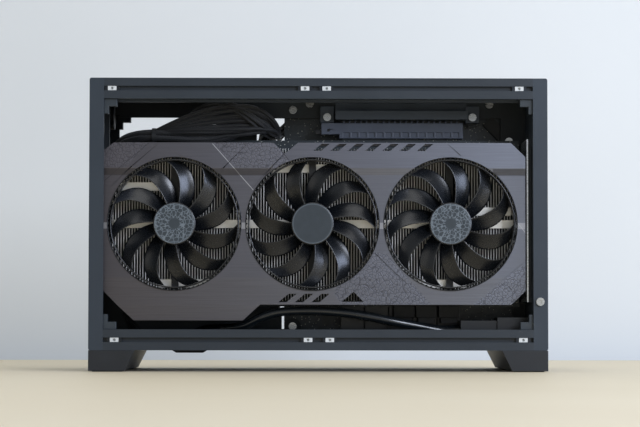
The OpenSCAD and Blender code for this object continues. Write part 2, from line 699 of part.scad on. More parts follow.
// Processor cooler
pipe_rows = [-18, -6, 6, 18];
pipe_reach = cpu_fan / 2 - 10;
module cooler_base() {
    color("#b88a63") {
        box([cpu_x - 20, cpu_x + 20], [board_top + 1, cooler_y0 + 6], [cpu_z - 22, cpu_z + 22]);
        for (p = pipe_rows) {
            rod_z(cpu_x + p, cooler_y0 + 9, cpu_z - pipe_reach, cpu_z + pipe_reach, 6);
            for (s = [-1, 1])
                rod_y(cpu_x + p, cooler_y0 + 9, cooler_y1 - 2, cpu_z + s * pipe_reach, 6);
            for (s = [-1, 1])
                translate([cpu_x + p, cooler_y0 + 9, cpu_z + s * pipe_reach]) sphere(d = 6);
        }
    }
}
module cooler_fins() {
    w = cpu_fan - 4;
    sheet_t = 0.5;
    n = floor(w / 2.4);
    step = (w - sheet_t) / n;
    color("#9da1a4") difference() {
        along_y(cooler_y0 + 16, cooler_y1) polygon(concat(
            [[cpu_x - w / 2, cpu_z - w / 2]],
            [for (i = [0:n - 1], q = [0:3]) let (z = cpu_z - w / 2 + sheet_t + i * step)
                [cpu_x - w / 2 + (q == 1 || q == 2 ? w - 3 : 0),
                 z + (q < 2 ? 0 : step - sheet_t)]],
            [[cpu_x - w / 2, cpu_z + w / 2], [cpu_x + w / 2, cpu_z + w / 2],
             [cpu_x + w / 2, cpu_z - w / 2]]));
        for (p = pipe_rows, s = [-1, 1])
            rod_y(cpu_x + p, cooler_y0 + 14, cooler_y1 - 2 + eps, cpu_z + s * pipe_reach, 6 + fit);
    }
}
module cooler_fan_frame() {
    c = cpu_fan / 2;
    y0 = cooler_y1;
    y1 = cooler_y1 + cpu_fan_t;
    color("#232427") {
        difference() {
            box([cpu_x - c, cpu_x + c], [y0, y1], [cpu_z - c, cpu_z + c]);
            rod_y(cpu_x, y0 - 1, y1 + 1, cpu_z, cpu_fan - 4);
            for (sx = [-1, 1], sz = [-1, 1])
                rod_y(cpu_x + sx * (c - 4.8), y0 - 1, y1 + 1, cpu_z + sz * (c - 4.8), 4.3);
        }
        difference() {
            union() {
                rod_y(cpu_x, y0, y0 + 2, cpu_z, 36);
                for (a = [45:90:315]) translate([cpu_x, 0, cpu_z]) rotate([0, a, 0])
                    box([15, c - 1.5], [y0, y0 + 2], [-2, 2]);
                rod_y(cpu_x, y0 + 2 - eps, y1 - 5, cpu_z, 10);
            }
            rod_y(cpu_x, y0 + 2, y1, cpu_z, shaft_d + 2 * bearing_gap);
        }
    }
}
module rotor(r_out, r_hub, y0, y1, sweep, w0, w1, count, ring) {
    difference() {
        rod_y(0, y0, y1, 0, 2 * r_hub);
        rod_y(0, y0 + 1.6, y1 + 1, 0, 2 * r_hub - 3);
    }
    rod_y(0, y0 + 1, y1 + 1, 0, shaft_d);
    for (i = [0:count - 1]) rotate([0, i * 360 / count, 0])
        blade(r_hub - 0.6, r_out - (ring > 0 ? ring / 2 : 0), sweep, w0, w1,
              y0 + 1.4, y1 - 1.6, 0.9);
    if (ring > 0) difference() {
        rod_y(0, y0 + 0.8, y1 - 0.2, 0, 2 * r_out);
        rod_y(0, y0, y1 + 1, 0, 2 * (r_out - ring));
    }
}
module cooler_rotor() {
    color("#2e2f33") translate([cpu_x, 0, cpu_z]) mirror([0, 1, 0])
        rotor(cpu_fan / 2 - 3, 18, -(cooler_y1 + cpu_fan_t - 1), -(cooler_y1 + 4.4),
              28, 30, 34, 9, 0);
}

// Card shroud: a faceted cover with three fan openings
shroud_outline = [[card_x0, card_z1 - 5.7], [card_x0 + 7, card_z1],
                  [fan_mid - 27.8, card_z1], [fan_mid - 19.4, card_z1 - 7.8],
                  [fan_mid - 10.3, card_z1], [card_x1 - 10, card_z1],
                  [card_x1, card_z1 - 10], [card_x1, card_low + 9.6],
                  [card_x1 - 10, card_low], [fan_mid - 36.9, card_low],
                  [fan_mid - 49.1, card_z0], [card_x0 + 21.3, card_z0],
                  [card_x0 + 9.3, card_low], [card_x0, card_low + 9.6]];
facet_profile = [[card_y0 + 2, card_z1], [card_y0, card_z1 - 18.1], [card_y0 + 1.5, card_z1 - 22.9],
                 [card_y0 + 1.5, card_low + 18.9], [card_y0 + 3, card_low - 0.4],
                 [card_y0 + 4.6, card_z0]];
function pushed(p, d) = [for (q = p) [q[0] + d, q[1]]];
module faceted(d, depth) {
    along_x(card_x0 - 1, card_x1 + 1) polygon(concat(
        [[depth, card_z1 + 1], [card_y0 + 2 + d, card_z1 + 1]], pushed(facet_profile, d),
        [[card_y0 + 4.6 + d, card_z0 - 1], [depth, card_z0 - 1]]));
}
vent_w = 5.6;
module lean(x, z, h, w) {
    translate([x, z]) polygon([[0, 0], [w, 0], [w + h * 1.2, h], [h * 1.2, h]]);
}
module seam(a, b, w) {
    d = b - a;
    s = w / 2 * [-d[1], d[0]] / norm(d);
    polygon([a + s, a - s, b - s, b + s]);
}
seams = [[[card_x0 + 5, fan_z + 26], [card_x0 + 18, card_z1 - 18.5]],
         [[card_x0 + 18, card_z1 - 18.5], [card_x0 + 38, card_z1 - 1]],
         [[fan_xs[0] + 51, card_z1 - 1], [fan_xs[0] + 34, card_z1 - 18.5]],
         [[fan_mid - 20, card_z1 - 8], [fan_mid - 44, fan_z + 24]],
         [[fan_mid + 44, fan_z - 21], [fan_mid + 80, card_low + 1]],
         [[fan_mid + 22, card_low + 14], [fan_mid + 30, card_low + 9]],
         [[fan_xs[2] + 53, fan_z - 26], [fan_xs[2] + 16, card_low + 1]],
         [[fan_xs[2] - 2, card_z1 - 1], [fan_xs[2] + 7, card_z1 - 9]],
         [[card_x0 + 34, card_z0 + 1.6], [fan_mid - 60, card_z0 + 1.6]]];
module card_shroud() {
    color("#6d6a73") for (s = [-1, 1], z = [-46, 46])
        rod_y(fan_mid + s * fan_pitch / 2, card_y0 + 2.8, fin_y0 - 0.3, fan_z + z, 6);
    color("#6d6a73") difference() {
        intersection() {
            faceted(0, skirt_y);
            along_y(card_y0 - 1, skirt_y) polygon(shroud_outline);
        }
        intersection() {
            faceted(shroud_t, skirt_y + 1);
            along_y(card_y0, skirt_y + 1) offset(delta = -shroud_t) polygon(shroud_outline);
        }
        for (x = fan_xs) rod_y(x, card_y0 - 1, card_y0 + 8, fan_z, fan_d);
        along_y(card_y0 - 1, card_y0 + 7) {
            for (i = [0:6]) lean(fan_mid + 0.4 + i * 12.2, card_z1 - 5.8, 5, vent_w);
            for (i = [0:2]) lean(fan_mid - 24 + i * 11.6, card_low + 1.6, 6, vent_w);
            polygon([[fan_mid + 29, card_low + 9], [fan_mid + 20.5, card_low + 2],
                     [fan_mid + 36, card_low + 2]]);
        }
        along_y(card_y0 - 1, card_y0 + 2) for (s = seams) seam(s[0], s[1], 0.7);
    }
}
module card_rotor(i, flip) {
    translate([fan_xs[i], 0, fan_z]) mirror([flip, 0, 0])
        rotor(fan_d / 2 - fan_gap, hub_d / 2, card_y0 + 1, rotor_back, 43, 44, 16, blades, 1.1);
}
module card_rotor_left() {
    color("#26292d") card_rotor(0, 1);
}
module card_rotor_middle() {
    color("#26292d") card_rotor(1, 0);
}
module card_rotor_right() {
    color("#26292d") card_rotor(2, 1);
}
cap_t = 0.5;
module hub_cap(i, rings) {
    color("#4a525c") translate([fan_xs[i], 0, fan_z]) difference() {
        rod_y(0, card_y0 + 1 - cap_t, card_y0 + 1, 0, hub_d - 1.6);
        if (rings) difference() {
            rod_y(0, card_y0 - 1, card_y0 + 0.7, 0, hub_d * 0.6);
            rod_y(0, card_y0 - 2, card_y0 + 1, 0, hub_d * 0.6 - 1.6);
        }
    }
}
module hub_cap_left() {
    hub_cap(0, true);
}
module hub_cap_middle() {
    hub_cap(1, false);
}
module hub_cap_right() {
    hub_cap(2, true);
}
// Motor carriers with three arms that reach the shroud's skirt
module fan_mounts() {
    y0 = rotor_back + 1.4;
    color("#1d1e20") for (i = [0:2]) translate([fan_xs[i], 0, fan_z]) difference() {
        union() {
            rod_y(0, y0, y0 + 2.4, 0, hub_d - 2);
            rod_y(0, y0 - 8, y0 + 2.4, 0, 9);
            for (a = [90, -90]) rotate([0, a, 0])
                box([hub_d / 2 - 2, fan_d / 2 + 2], [y0, y0 + 2.4], [-2.5, 2.5]);
            for (a = [90, -90]) rotate([0, a, 0])
                box([fan_d / 2 + 0.4, fan_d / 2 + 3], [card_y0 + 4.5, y0 + 2.4], [-2.5, 2.5]);
        }
        rod_y(0, y0 - 9, y0 + 1.6, 0, shaft_d + 2 * bearing_gap);
    }
}
// Fin pack with channels for the pipes
pipe_runs = [[[card_x0 + 6, card_x1 - 6], fan_z + 0.4], [[card_x0 + 9, card_x0 + 48], fan_z + 27],
             [[fan_mid - 30, fan_mid + 12], fan_z + 40],
             [[fan_xs[2] + 8, fan_xs[2] + 44], fan_z + 9.5],
             [[fan_xs[0] - 12, fan_xs[0] + 32], fan_z - 42],
             [[fan_xs[2] - 34, fan_xs[2] + 12], fan_z - 42]];
module card_heatsink() {
    x0 = card_x0 + 5;
    n = floor((card_l - 10) / fin_pitch);
    color("#b9bcbe") difference() {
        translate([0, 0, card_low + 3]) linear_extrude(card_z1 - card_low - 6) polygon(concat(
            [for (i = [0:n - 1], q = [0:3])
                [x0 + i * fin_pitch + (q == 1 || q == 2 ? fin_t : q == 3 ? fin_pitch : 0),
                 q < 2 ? fin_y0 : fin_y1 - 2]],
            [[x0 + n * fin_pitch, fin_y1], [x0, fin_y1]]));
        for (p = pipe_runs)
            box([p[0][0] - 0.3, p[0][1] + 0.3], [fin_y0 - 1, fin_y0 + 5.2],
                [p[1] - pipe_w / 2 - 0.2, p[1] + pipe_w / 2 + 0.2]);
        box([power_xs[0] - 7.8, power_xs[2] + 7.8], [card_pcb_y - 9.6, fin_y1 + 1],
            [card_low + 2, card_low + 7.2]);
    }
}
module card_heat_pipes() {
    color("#d6d3cc") for (p = pipe_runs)
        box(p[0], [fin_y0 - 0.6, fin_y0 + 5], [p[1] - pipe_w / 2, p[1] + pipe_w / 2]);
}
pcb_x0 = card_x0 + 30;
module card_board() {
    color("#16191b") {
        box([pcb_x0, card_x1], [card_pcb_y, card_pcb_y + 1.6], [card_low - 1, pcb_z1]);
        box([finger_x0, finger_x1], [card_pcb_y, card_pcb_y + 1.6],
            [pcb_z1 - eps, mouth_z + 6.6]);
    }
}
module card_backplate() {
    color("#5f6066") difference() {
        box([pcb_x0, card_x1 - 1], [card_y1 - 1.2, card_y1], [card_low, card_z1 - 2]);
        for (i = [0:5])
            translate([pcb_x0 + 16 + i * 9, 0, card_low + 30]) rotate([0, 20, 0])
                box([-2, 2], [card_y1 - 2, card_y1 + 1], [0, 50]);
    }
    color("#5f6066") for (x = [pcb_x0 + 6, fan_mid, card_x1 - 8], z = [card_low + 6, card_z1 - 8])
        rod_y(x, card_pcb_y + 1.6, card_y1 - 1.2 + eps, z, 6);
}
bracket_z0 = window_z0 - 6;
bracket_z1 = card_z1 + 2.6;
module card_bracket() {
    color("#b4b7ba") difference() {
        box([bracket_x0, bracket_x1], [card_y0 + 1, card_y1 - 0.4], [bracket_z0, bracket_z1]);
        for (p = card_port_list)
            box([bracket_x0 - 1, bracket_x1 + 1], [p[0] - p[1] / 2, p[0] + p[1] / 2],
                [p[2], p[2] + p[3]]);
        along_x(bracket_x0 - 1, bracket_x1 + 1) for (i = [0:7])
            translate([card_pcb_y - 14.6, window_z0 + 8 + i * 11]) oblong(12, 4);
    }
    color("#b4b7ba") box([card_x1, bracket_x0 + eps], [card_pcb_y + 1.6, card_pcb_y + 2.6],
                         [card_low + 20, card_low + 30]);
}
card_port_list = [for (i = [0:4]) [card_pcb_y - 4.2, 6, window_z0 + 4 + i * 20, 15]];
module card_ports() {
    color("#c3c5c6") for (p = card_port_list) difference() {
        union() {
            box([card_x1 - 5 + play, bracket_x0 - 0.2], [p[0] - p[1] / 2 + 0.2, card_pcb_y],
                [p[2] + 0.2, p[2] + p[3] - 0.2]);
            box([bracket_x0 - 0.3, bracket_x1 + 0.5], [p[0] - p[1] / 2 + 0.2, p[0] + p[1] / 2 - 0.2],
                [p[2] + 0.2, p[2] + p[3] - 0.2]);
        }
        box([card_x1 - 4, bracket_x1 + 1], [p[0] - p[1] / 2 + 1, p[0] + p[1] / 2 - 1],
            [p[2] + 1.2, p[2] + p[3] - 1.2]);
    }
}
module card_power_sockets() {
    color("#121314") for (x = power_xs)
        box([x - 7.6, x + 7.6], [card_pcb_y - 9.4, card_pcb_y], [card_low - 1, card_low + 7]);
}
module power_plugs() {
    color("#1c1d1f") {
        box([plug_24[0] - 4.6, plug_24[0] + 4.6], [board_top + 12.8, plug_24[1]],
            [board_z0 + 58.4, board_z0 + 109.6]);
        box([plug_8[0] - 9.6, plug_8[0] + 9.6], [board_top + 12.8, plug_8[1]],
            [plug_8[2] - 4.2, plug_8[2] + 4.2]);
    }
    color("#1c1d1f") for (x = power_xs) {
        box([x - 7.4, x + 7.4], [card_pcb_y - 9, card_pcb_y + 0.8], [card_low - 9, card_low - 1]);
        box([x - 6, x + 6], [card_pcb_y - 8, card_pcb_y], [card_low - 13, card_low - 9 + eps]);
    }
}

// Riser that brings the slot up to the card's top edge
latch_w = 6.6;
latch_x = socket_x0 - 8;
latch_z = mouth_z + 6;
module riser_socket() {
    color("#2c3038") difference() {
        union() {
            box([socket_x0, socket_x1], [socket_y - 4.4, socket_y + 4.4],
                [mouth_z, mouth_z + socket_h]);
            box([latch_x - 5, socket_x0 + eps], [socket_y - 4.4, socket_y + 4.4],
                [mouth_z + 3, mouth_z + socket_h]);
        }
        box([socket_x0 + 1.6, socket_x1 - 1.6], [socket_y - 1, socket_y + 1],
            [mouth_z - 1, mouth_z + 8]);
        for (s = [-1, 1], i = [0:13])
            box([socket_x0 + 2.6 + i * 6.1, socket_x0 + 7.4 + i * 6.1],
                [s > 0 ? socket_y + 3.7 : socket_y - 5, s > 0 ? socket_y + 5 : socket_y - 3.7],
                [mouth_z + 0.8, mouth_z + 4.4]);
        box([latch_x - 6, latch_x + 4.5],
            [socket_y - latch_w / 2 + 1 - play, socket_y + latch_w / 2 - 1 + play],
            [mouth_z + 2, mouth_z + 9.6]);
        rod_y(latch_x, socket_y - 5, socket_y + 5, latch_z, 2);
    }
    color("#c9b27a") for (s = [-1, 1], i = [0:20])
        box([socket_x0 + 3 + i * 4.1, socket_x0 + 3.8 + i * 4.1],
            [socket_y + s * 3 - 0.4, socket_y + s * 3 + 0.4],
            [mouth_z + socket_h - eps, riser_z]);
}
module riser_latch() {
    color("#23262c") {
        difference() {
            union() {
                rod_y(latch_x, socket_y - latch_w / 2 + 1, socket_y + latch_w / 2 - 1, latch_z, 5);
                box([latch_x - 9, latch_x], [socket_y - latch_w / 2 + 1, socket_y + latch_w / 2 - 1],
                    [latch_z - 2.5, latch_z]);
            }
            box([latch_x - 10, latch_x - 4], [socket_y - 1, socket_y + 1], [latch_z - 3, latch_z - 1]);
        }
        rod_y(latch_x, socket_y - latch_w / 2, socket_y + latch_w / 2, latch_z, 2 - 2 * bearing_gap);
    }
}
module riser_board() {
    color("#14181a") box([socket_x0 - 2, socket_x1 + 2], [socket_y - 8, ribbon_y - 0.3],
                         [riser_z, riser_z + 1.6]);
}
module riser_bracket() {
    y0 = spine_y - 6.5;
    color("#25282c") difference() {
        union() {
            box([socket_x0 - 3, socket_x1 + 3], [socket_y - 10, socket_y - 9],
                [riser_z + 0.2, riser_z + 5.4]);
            box([socket_x0 - 3, socket_x1 + 3], [socket_y - 10, spine_y - 3],
                [riser_z + 5.4 - eps, riser_z + 6.4]);
            box([socket_x0 - 3, socket_x1 + 3], [spine_y - 4, spine_y - 3],
                [riser_z + 6.4 - eps, riser_z + 13]);
            for (p = [spine_small[2], spine_small[3]])
                box([p[0] - 5, p[0] + 5], [y0, spine_y],
                    [min(p[1] - 4, riser_z + 6), max(p[1] + 8, riser_z + 8)]);
        }
        for (p = [spine_small[2], spine_small[3]])
            rod_y(p[0], y0 - 1, spine_y + 1, p[1], screw_d + 2 * fit);
    }
}
// Five flat strips down behind the card and under the board
ribbon_low = z0 + skin_t + 3.4;
ribbon_r = 4;
module ribbon_profile() {
    r0 = ribbon_r;
    r1 = ribbon_r + ribbon_t;
    yc = ribbon_y + r1;
    yp = board_top + 15.5;
    translate([ribbon_y, ribbon_low + r1]) square([ribbon_t, riser_z + 0.8 - ribbon_low - r1]);
    intersection() {
        translate([yc, ribbon_low + r1]) difference() {
            circle(r = r1);
            circle(r = r0);
        }
        translate([ribbon_y, ribbon_low]) square([r1, r1]);
    }
    translate([yc, ribbon_low]) square([yp - r1 + ribbon_t - yc, ribbon_t]);
    intersection() {
        translate([yp - r1 + ribbon_t, ribbon_low + r1]) difference() {
            circle(r = r1);
            circle(r = r0);
        }
        translate([yp - r1 + ribbon_t, ribbon_low]) square([r1, r1]);
    }
    translate([yp, ribbon_low + r1]) square([ribbon_t, slot_z - 5.6 - ribbon_low - r1]);
}
module riser_ribbon() {
    step = (socket_x1 - socket_x0 - 2) / strip_n;
    color("#1a1c20") for (i = [0:strip_n - 1])
        along_x(socket_x0 + 1 + i * step + 0.5, socket_x0 + 1 + (i + 1) * step - 0.5)
            ribbon_profile();
}
module riser_plug() {
    color("#1b1e22") {
        box([socket_x0, socket_x1], [board_top + 11.4, board_top + 20], [slot_z - 5.6, slot_z + 6]);
        box([socket_x0 + 2, socket_x1 - 2], [board_top + 4, board_top + 11.4 + eps],
            [slot_z - 0.8, slot_z + 0.8]);
    }
}

// Power supply
psu_fan_x = psu_x0 + psu_l / 2;
psu_fan_z = psu_z0 + psu_h / 2;
module psu_case() {
    color("#26282b") difference() {
        box([psu_x0, psu_x1], [psu_y0, psu_y1], [psu_z0, psu_z1]);
        box([psu_x0 + 1.2, psu_x1 - 1.2], [psu_y0 + 1.2, psu_y1 - 1.2], [psu_z0 + 1.2, psu_z1 - 1.2]);
        rod_y(psu_fan_x, psu_y1 - 3, psu_y1 + 1, psu_fan_z, psu_fan_d);
        box([plug_x - 14.6, plug_x + 14.6], [plug_y - 11, plug_y + 11], [psu_z0 - 1, psu_z0 + 2]);
        along_x(psu_x0 - 1, psu_x1 + 1)
            for (i = [0:floor((psu_h - 20) / 14)], j = [0:floor((psu_t - 23) / 20)])
                translate([psu_y0 + 12 + j * 20, psu_z0 + 14 + i * 14]) oblong(14, 5);
        box([psu_x0 + 12, psu_x1 - 12], [psu_y0 + 10, psu_y0 + 46], [psu_z1 - 2, psu_z1 + 1]);
    }
}
module psu_rotor() {
    color("#1f2023") translate([psu_fan_x, 0, psu_fan_z]) mirror([0, 1, 0])
        rotor(psu_fan_d / 2 - 2, 17, -(psu_y1 - 1.8), -(psu_y1 - 12), 26, 34, 40, 7, 0);
}
module psu_grille() {
    color("#8f9295") {
        difference() {
            union() {
                for (r = [14, 22, 30, 38]) difference() {
                    rod_y(psu_fan_x, psu_y1, psu_y1 + 1.6, psu_fan_z, 2 * r + 1.6);
                    rod_y(psu_fan_x, psu_y1 - 1, psu_y1 + 2, psu_fan_z, 2 * r - 1.6);
                }
                for (a = [45:90:315]) translate([psu_fan_x, 0, psu_fan_z]) rotate([0, a, 0])
                    box([12.4, psu_fan_d / 2 + 5], [psu_y1, psu_y1 + 1.6], [-0.8, 0.8]);
            }
        }
        difference() {
            union() {
                rod_y(psu_fan_x, psu_y1 - 16, psu_y1 - 13.4, psu_fan_z, 34);
                rod_y(psu_fan_x, psu_y1 - 16, psu_y1 - 5, psu_fan_z, 9);
                for (a = [0, 180]) translate([psu_fan_x, 0, psu_fan_z]) rotate([0, a, 0])
                    box([15, psu_l / 2 - 1.2], [psu_y1 - 16, psu_y1 - 13.4], [-3, 3]);
            }
            rod_y(psu_fan_x, psu_y1 - 15, psu_y1, psu_fan_z, shaft_d + 2 * bearing_gap);
        }
    }
}
module psu_sockets() {
    color("#101112") {
        difference() {
            box([plug_x - 14.6, plug_x + 14.6], [plug_y - 11, plug_y + 11], [psu_z0, psu_z0 + 18]);
            box([plug_x - 13.2, plug_x + 13.2], [plug_y - 9, plug_y + 9], [psu_z0 - 1, psu_z0 + 16]);
        }
        difference() {
            box([psu_x0 + 12, psu_x1 - 12], [psu_y0 + 10, psu_y0 + 46], [psu_z1 - 12, psu_z1]);
            for (i = [0:floor((psu_l - 50) / 25)], j = [0, 1])
                box([psu_x0 + 16 + i * 25, psu_x0 + 36 + i * 25],
                    [psu_y0 + 13 + j * 17, psu_y0 + 25 + j * 17], [psu_z1 - 3, psu_z1 + 1]);
        }
    }
}
// Inlet on the rear panel with its flange inside
module power_inlet() {
    color("#111214") difference() {
        union() {
            box([xo - 1.6, xo], [inlet_y - 18, inlet_y + 18], [z0 + rail_h - 11, z0 + 24.4]);
            box([xo - inlet_in, xo + panel_t], [inlet_y - inlet_w / 2 + fit, inlet_y + inlet_w / 2 - fit],
                [inlet_z - inlet_h / 2 + fit, inlet_z + inlet_h / 2 - fit]);
        }
        box([xo - inlet_in + 4, xo + panel_t + 1], [inlet_y - 12, inlet_y + 12],
            [inlet_z - inlet_h / 2 + 1.6, inlet_z + inlet_h / 2 - 1.6]);
    }
    color("#c9ccce") for (s = [-1, 0, 1])
        box([xo - inlet_in + 4 - eps, xo - 2], [inlet_y + s * 7 - 1, inlet_y + s * 7 + 1],
            [inlet_z - 2 + (s == 0 ? 3 : 0), inlet_z + 2 + (s == 0 ? 3 : 0)]);
}
module power_lead() {
    color("#1b1f22") cord(lead_route, lead_d, 10);
}
module lead_plugs() {
    color("#141517") {
        along_y(plug_y - plug_d / 2, plug_y + plug_d / 2) polygon([
            [plug_x - plug_w / 2, psu_z0 + 15], [plug_x - plug_w / 2, z0 - 1],
            [plug_x - plug_w / 2 + 3.4, plug_low], [plug_x + plug_w / 2 - 3.4, plug_low],
            [plug_x + plug_w / 2, z0 - 1], [plug_x + plug_w / 2, psu_z0 + 15]]);
        box([xo - plug_end, xo - inlet_in], [inlet_y - 12, inlet_y + 12],
            [inlet_z - 8, inlet_z + 7.4]);
    }
}

// Sleeved cables from the power supply
module cable_loom() {
    color("#17191b") {
        cord(loom_low, 10, 10);
        cord(loom_high, 7, 8);
        cord(loom_back, 7, 8);
        cord(card_loom, 6.4, 8);
    }
}
module tie(p, d, a) {
    translate(p) rotate([0, a, 0]) difference() {
        rod_x(-1.6, 1.6, 0, 0, d + 2.4);
        rod_x(-3, 3, 0, 0, d + 0.2);
    }
}
module cable_ties() {
    color("#0f1011") {
        tie(loom_low[7], 10, 0);
        tie(loom_high[6], 7, 0);
    }
}

// Power button in the front face and the cup that guides it
flange_x = xf + front_t + play;
module power_button() {
    color("#c2c5c8") {
        rod_x(xf, flange_x + eps, button_y, button_z, button_d);
        rod_x(flange_x, flange_x + 1.6, button_y, button_z, button_d + 4);
    }
}
module button_holder() {
    color("#1d1f21") difference() {
        rod_x(xf + front_t, flange_x + 1.6 + button_travel + 2.4, button_y, button_z, button_d + 8);
        rod_x(xf, flange_x + 1.6 + button_travel + 0.4, button_y, button_z, button_d + 4.8);
        rod_x(xf, xi, button_y, button_z, 4);
    }
}

front_panel();
rear_panel();
rail_top_near();
rail_top_far();
rail_bottom_near();
rail_bottom_far();
corner_brackets();
case_screws();
panel_clips();
clip_springs();
foot_front();
foot_rear();
foot_pads();
top_skin();
bottom_skin();
spine();
board_standoffs();
spine_screws();
mainboard();
board_connectors();
board_heatsinks();
io_ports();
memory_modules();
cooler_base();
cooler_fins();
cooler_fan_frame();
cooler_rotor();
card_shroud();
card_rotor_left();
card_rotor_middle();
card_rotor_right();
hub_cap_left();
hub_cap_middle();
hub_cap_right();
fan_mounts();
card_heatsink();
card_heat_pipes();
card_board();
card_backplate();
card_bracket();
card_ports();
card_power_sockets();
power_plugs();
riser_socket();
riser_latch();
riser_board();
riser_bracket();
riser_ribbon();
riser_plug();
psu_case();
psu_rotor();
psu_grille();
psu_sockets();
power_inlet();
power_lead();
lead_plugs();
cable_loom();
cable_ties();
power_button();
button_holder();
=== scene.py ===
# %% [markdown]
# # A sandwich computer case in Blender
# The solids of this case were made in a CAD program and packed as a fixed frame.
# Blender's part is the looks: materials, light, a camera, and those pieces that a
# solid modeller draws too plainly, such as fan blades and bundles of cable.
# Everything is in metres, with X from front to rear, -Y towards us and Z up.

# %% Load the frame
import math
import bpy
import numpy as np
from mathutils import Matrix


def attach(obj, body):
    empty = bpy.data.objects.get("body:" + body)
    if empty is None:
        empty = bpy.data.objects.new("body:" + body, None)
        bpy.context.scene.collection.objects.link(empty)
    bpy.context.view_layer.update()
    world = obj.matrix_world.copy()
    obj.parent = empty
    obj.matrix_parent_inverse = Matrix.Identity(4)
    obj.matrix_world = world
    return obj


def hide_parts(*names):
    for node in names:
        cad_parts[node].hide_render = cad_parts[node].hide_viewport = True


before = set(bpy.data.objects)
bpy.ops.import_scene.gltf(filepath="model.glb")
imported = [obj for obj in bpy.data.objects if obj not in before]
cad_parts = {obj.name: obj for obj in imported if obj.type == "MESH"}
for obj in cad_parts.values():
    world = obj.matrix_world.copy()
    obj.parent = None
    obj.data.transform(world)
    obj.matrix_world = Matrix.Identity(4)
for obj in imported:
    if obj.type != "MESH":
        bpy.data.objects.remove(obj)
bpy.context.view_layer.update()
MM = 0.001

# %% [markdown]
# The camera comes first, because every later choice is judged through it. The
# photograph was taken from a little above the table with a long lens, looking
# slightly up, so the case shows almost no perspective. A 127 mm lens on a 36 mm
# sensor gives the same view of a frame 640 pixels wide.

# %% Camera
CAMERA_AT = np.array([-12.86, -1651.6, 34.94]) * MM
YAW, PITCH, ROLL = math.radians(0.5064), math.radians(2.7495), math.radians(0.0641)
LENS = 126.97


def add_camera():
    """Makes the scene's camera: pitch from level about X, a slight roll, and yaw about Z."""
    data = bpy.data.cameras.new("camera")
    data.lens = LENS
    data.clip_end = 20
    camera = bpy.data.objects.new("camera", data)
    camera.location = CAMERA_AT
    camera.rotation_euler = (math.pi / 2 + PITCH, -ROLL, -YAW)
    bpy.context.scene.collection.objects.link(camera)
    bpy.context.scene.camera = camera
    return camera


camera = add_camera()
print("camera:", camera.name, round(camera.data.lens, 2), "mm")

# %% [markdown]
# A material is a small graph of nodes. Three helpers keep each graph short: one
# turns a hex colour, as picked from a photograph, into the linear light values
# that the shader wants; one adds a node with its settings and its links; one
# starts a material and gives back its main shader. Patterns are placed with
# Object coordinates, so a scale is a real size on the part.

# %% Helpers for materials
def linear(hex_colour):
    """The linear RGBA of an sRGB hex colour: v/12.92 below 0.04, else ((v+0.055)/1.055)^2.4."""
    v = np.array([int(hex_colour[i:i + 2], 16) for i in (1, 3, 5)]) / 255
    v = np.where(v < 0.04045, v / 12.92, ((v + 0.055) / 1.055) ** 2.4)
    return (*v.tolist(), 1.0)


def add(tree, kind, inputs=None, **settings):
    """Adds a shader node, sets it up, and fills its inputs with values or other outputs."""
    node = tree.nodes.new("ShaderNode" + kind)
    for name, value in settings.items():
        setattr(node, name, value)
    for name, value in (inputs or {}).items():
        if isinstance(value, bpy.types.NodeSocket):
            tree.links.new(value, node.inputs[name])
        else:
            node.inputs[name].default_value = value
    return node


def per_mm(size_mm):
    """The scale of a texture whose pattern repeats about every size_mm on the part."""
    return 1000 / size_mm


def start(name, **values):
    """A new material with its shader, its node tree and its Object coordinates."""
    material = bpy.data.materials.new(name)
    material.use_nodes = True
    tree = material.node_tree
    shader = tree.nodes["Principled BSDF"]
    for key, value in values.items():
        shader.inputs[key.replace("_", " ")].default_value = value
    return material, tree, shader, add(tree, "TexCoord").outputs["Object"]


def mottled(tree, at, low, high, size_mm, detail=3.0):
    """A colour that drifts between two hex colours over about size_mm."""
    noise = add(tree, "TexNoise", {"Vector": at, "Scale": per_mm(size_mm), "Detail": detail})
    mix = add(tree, "Mix", {"Factor": noise.outputs["Fac"]}, data_type="RGBA")
    mix.inputs[6].default_value = linear(low)
    mix.inputs[7].default_value = linear(high)
    return mix.outputs[2]


def spread(tree, value, low, high):
    """Carries a value from 0..1 to low..high."""
    return add(tree, "MapRange", {"Value": value, "To Min": low, "To Max": high}).outputs["Result"]


def bump(tree, shader, height, depth_mm, strength=1.0):
    """Tilts the surface as a relief of depth_mm would."""
    node = add(tree, "Bump", {"Height": height, "Distance": depth_mm * MM, "Strength": strength})
    tree.links.new(node.outputs["Normal"], shader.inputs["Normal"])


# %% [markdown]
# The end panels, rails and skins are steel with a powder coat: paint that is
# sprayed on as dust and baked. It leaves a very fine orange-peel relief, an even
# dark colour and a broad, soft highlight. Noise of about half a millimetre makes
# the grain, and a slower noise makes the sheen drift.

# %% Powder-coated steel
def powder_coat(name, low, high, roughness=0.42, grain_mm=0.45):
    """Baked powder paint: fine relief, slight drift of colour and sheen."""
    material, tree, shader, at = start(name, Metallic=0.0, Specular_IOR_Level=0.45)
    tree.links.new(mottled(tree, at, low, high, 26), shader.inputs["Base Color"])
    grain = add(tree, "TexNoise", {"Vector": at, "Scale": per_mm(grain_mm), "Detail": 2.0})
    slow = add(tree, "TexNoise", {"Vector": at, "Scale": per_mm(18), "Detail": 2.0})
    rough = spread(tree, slow.outputs["Fac"], roughness - 0.06, roughness + 0.06)
    tree.links.new(rough, shader.inputs["Roughness"])
    bump(tree, shader, grain.outputs["Fac"], 0.05, 0.6)
    return material


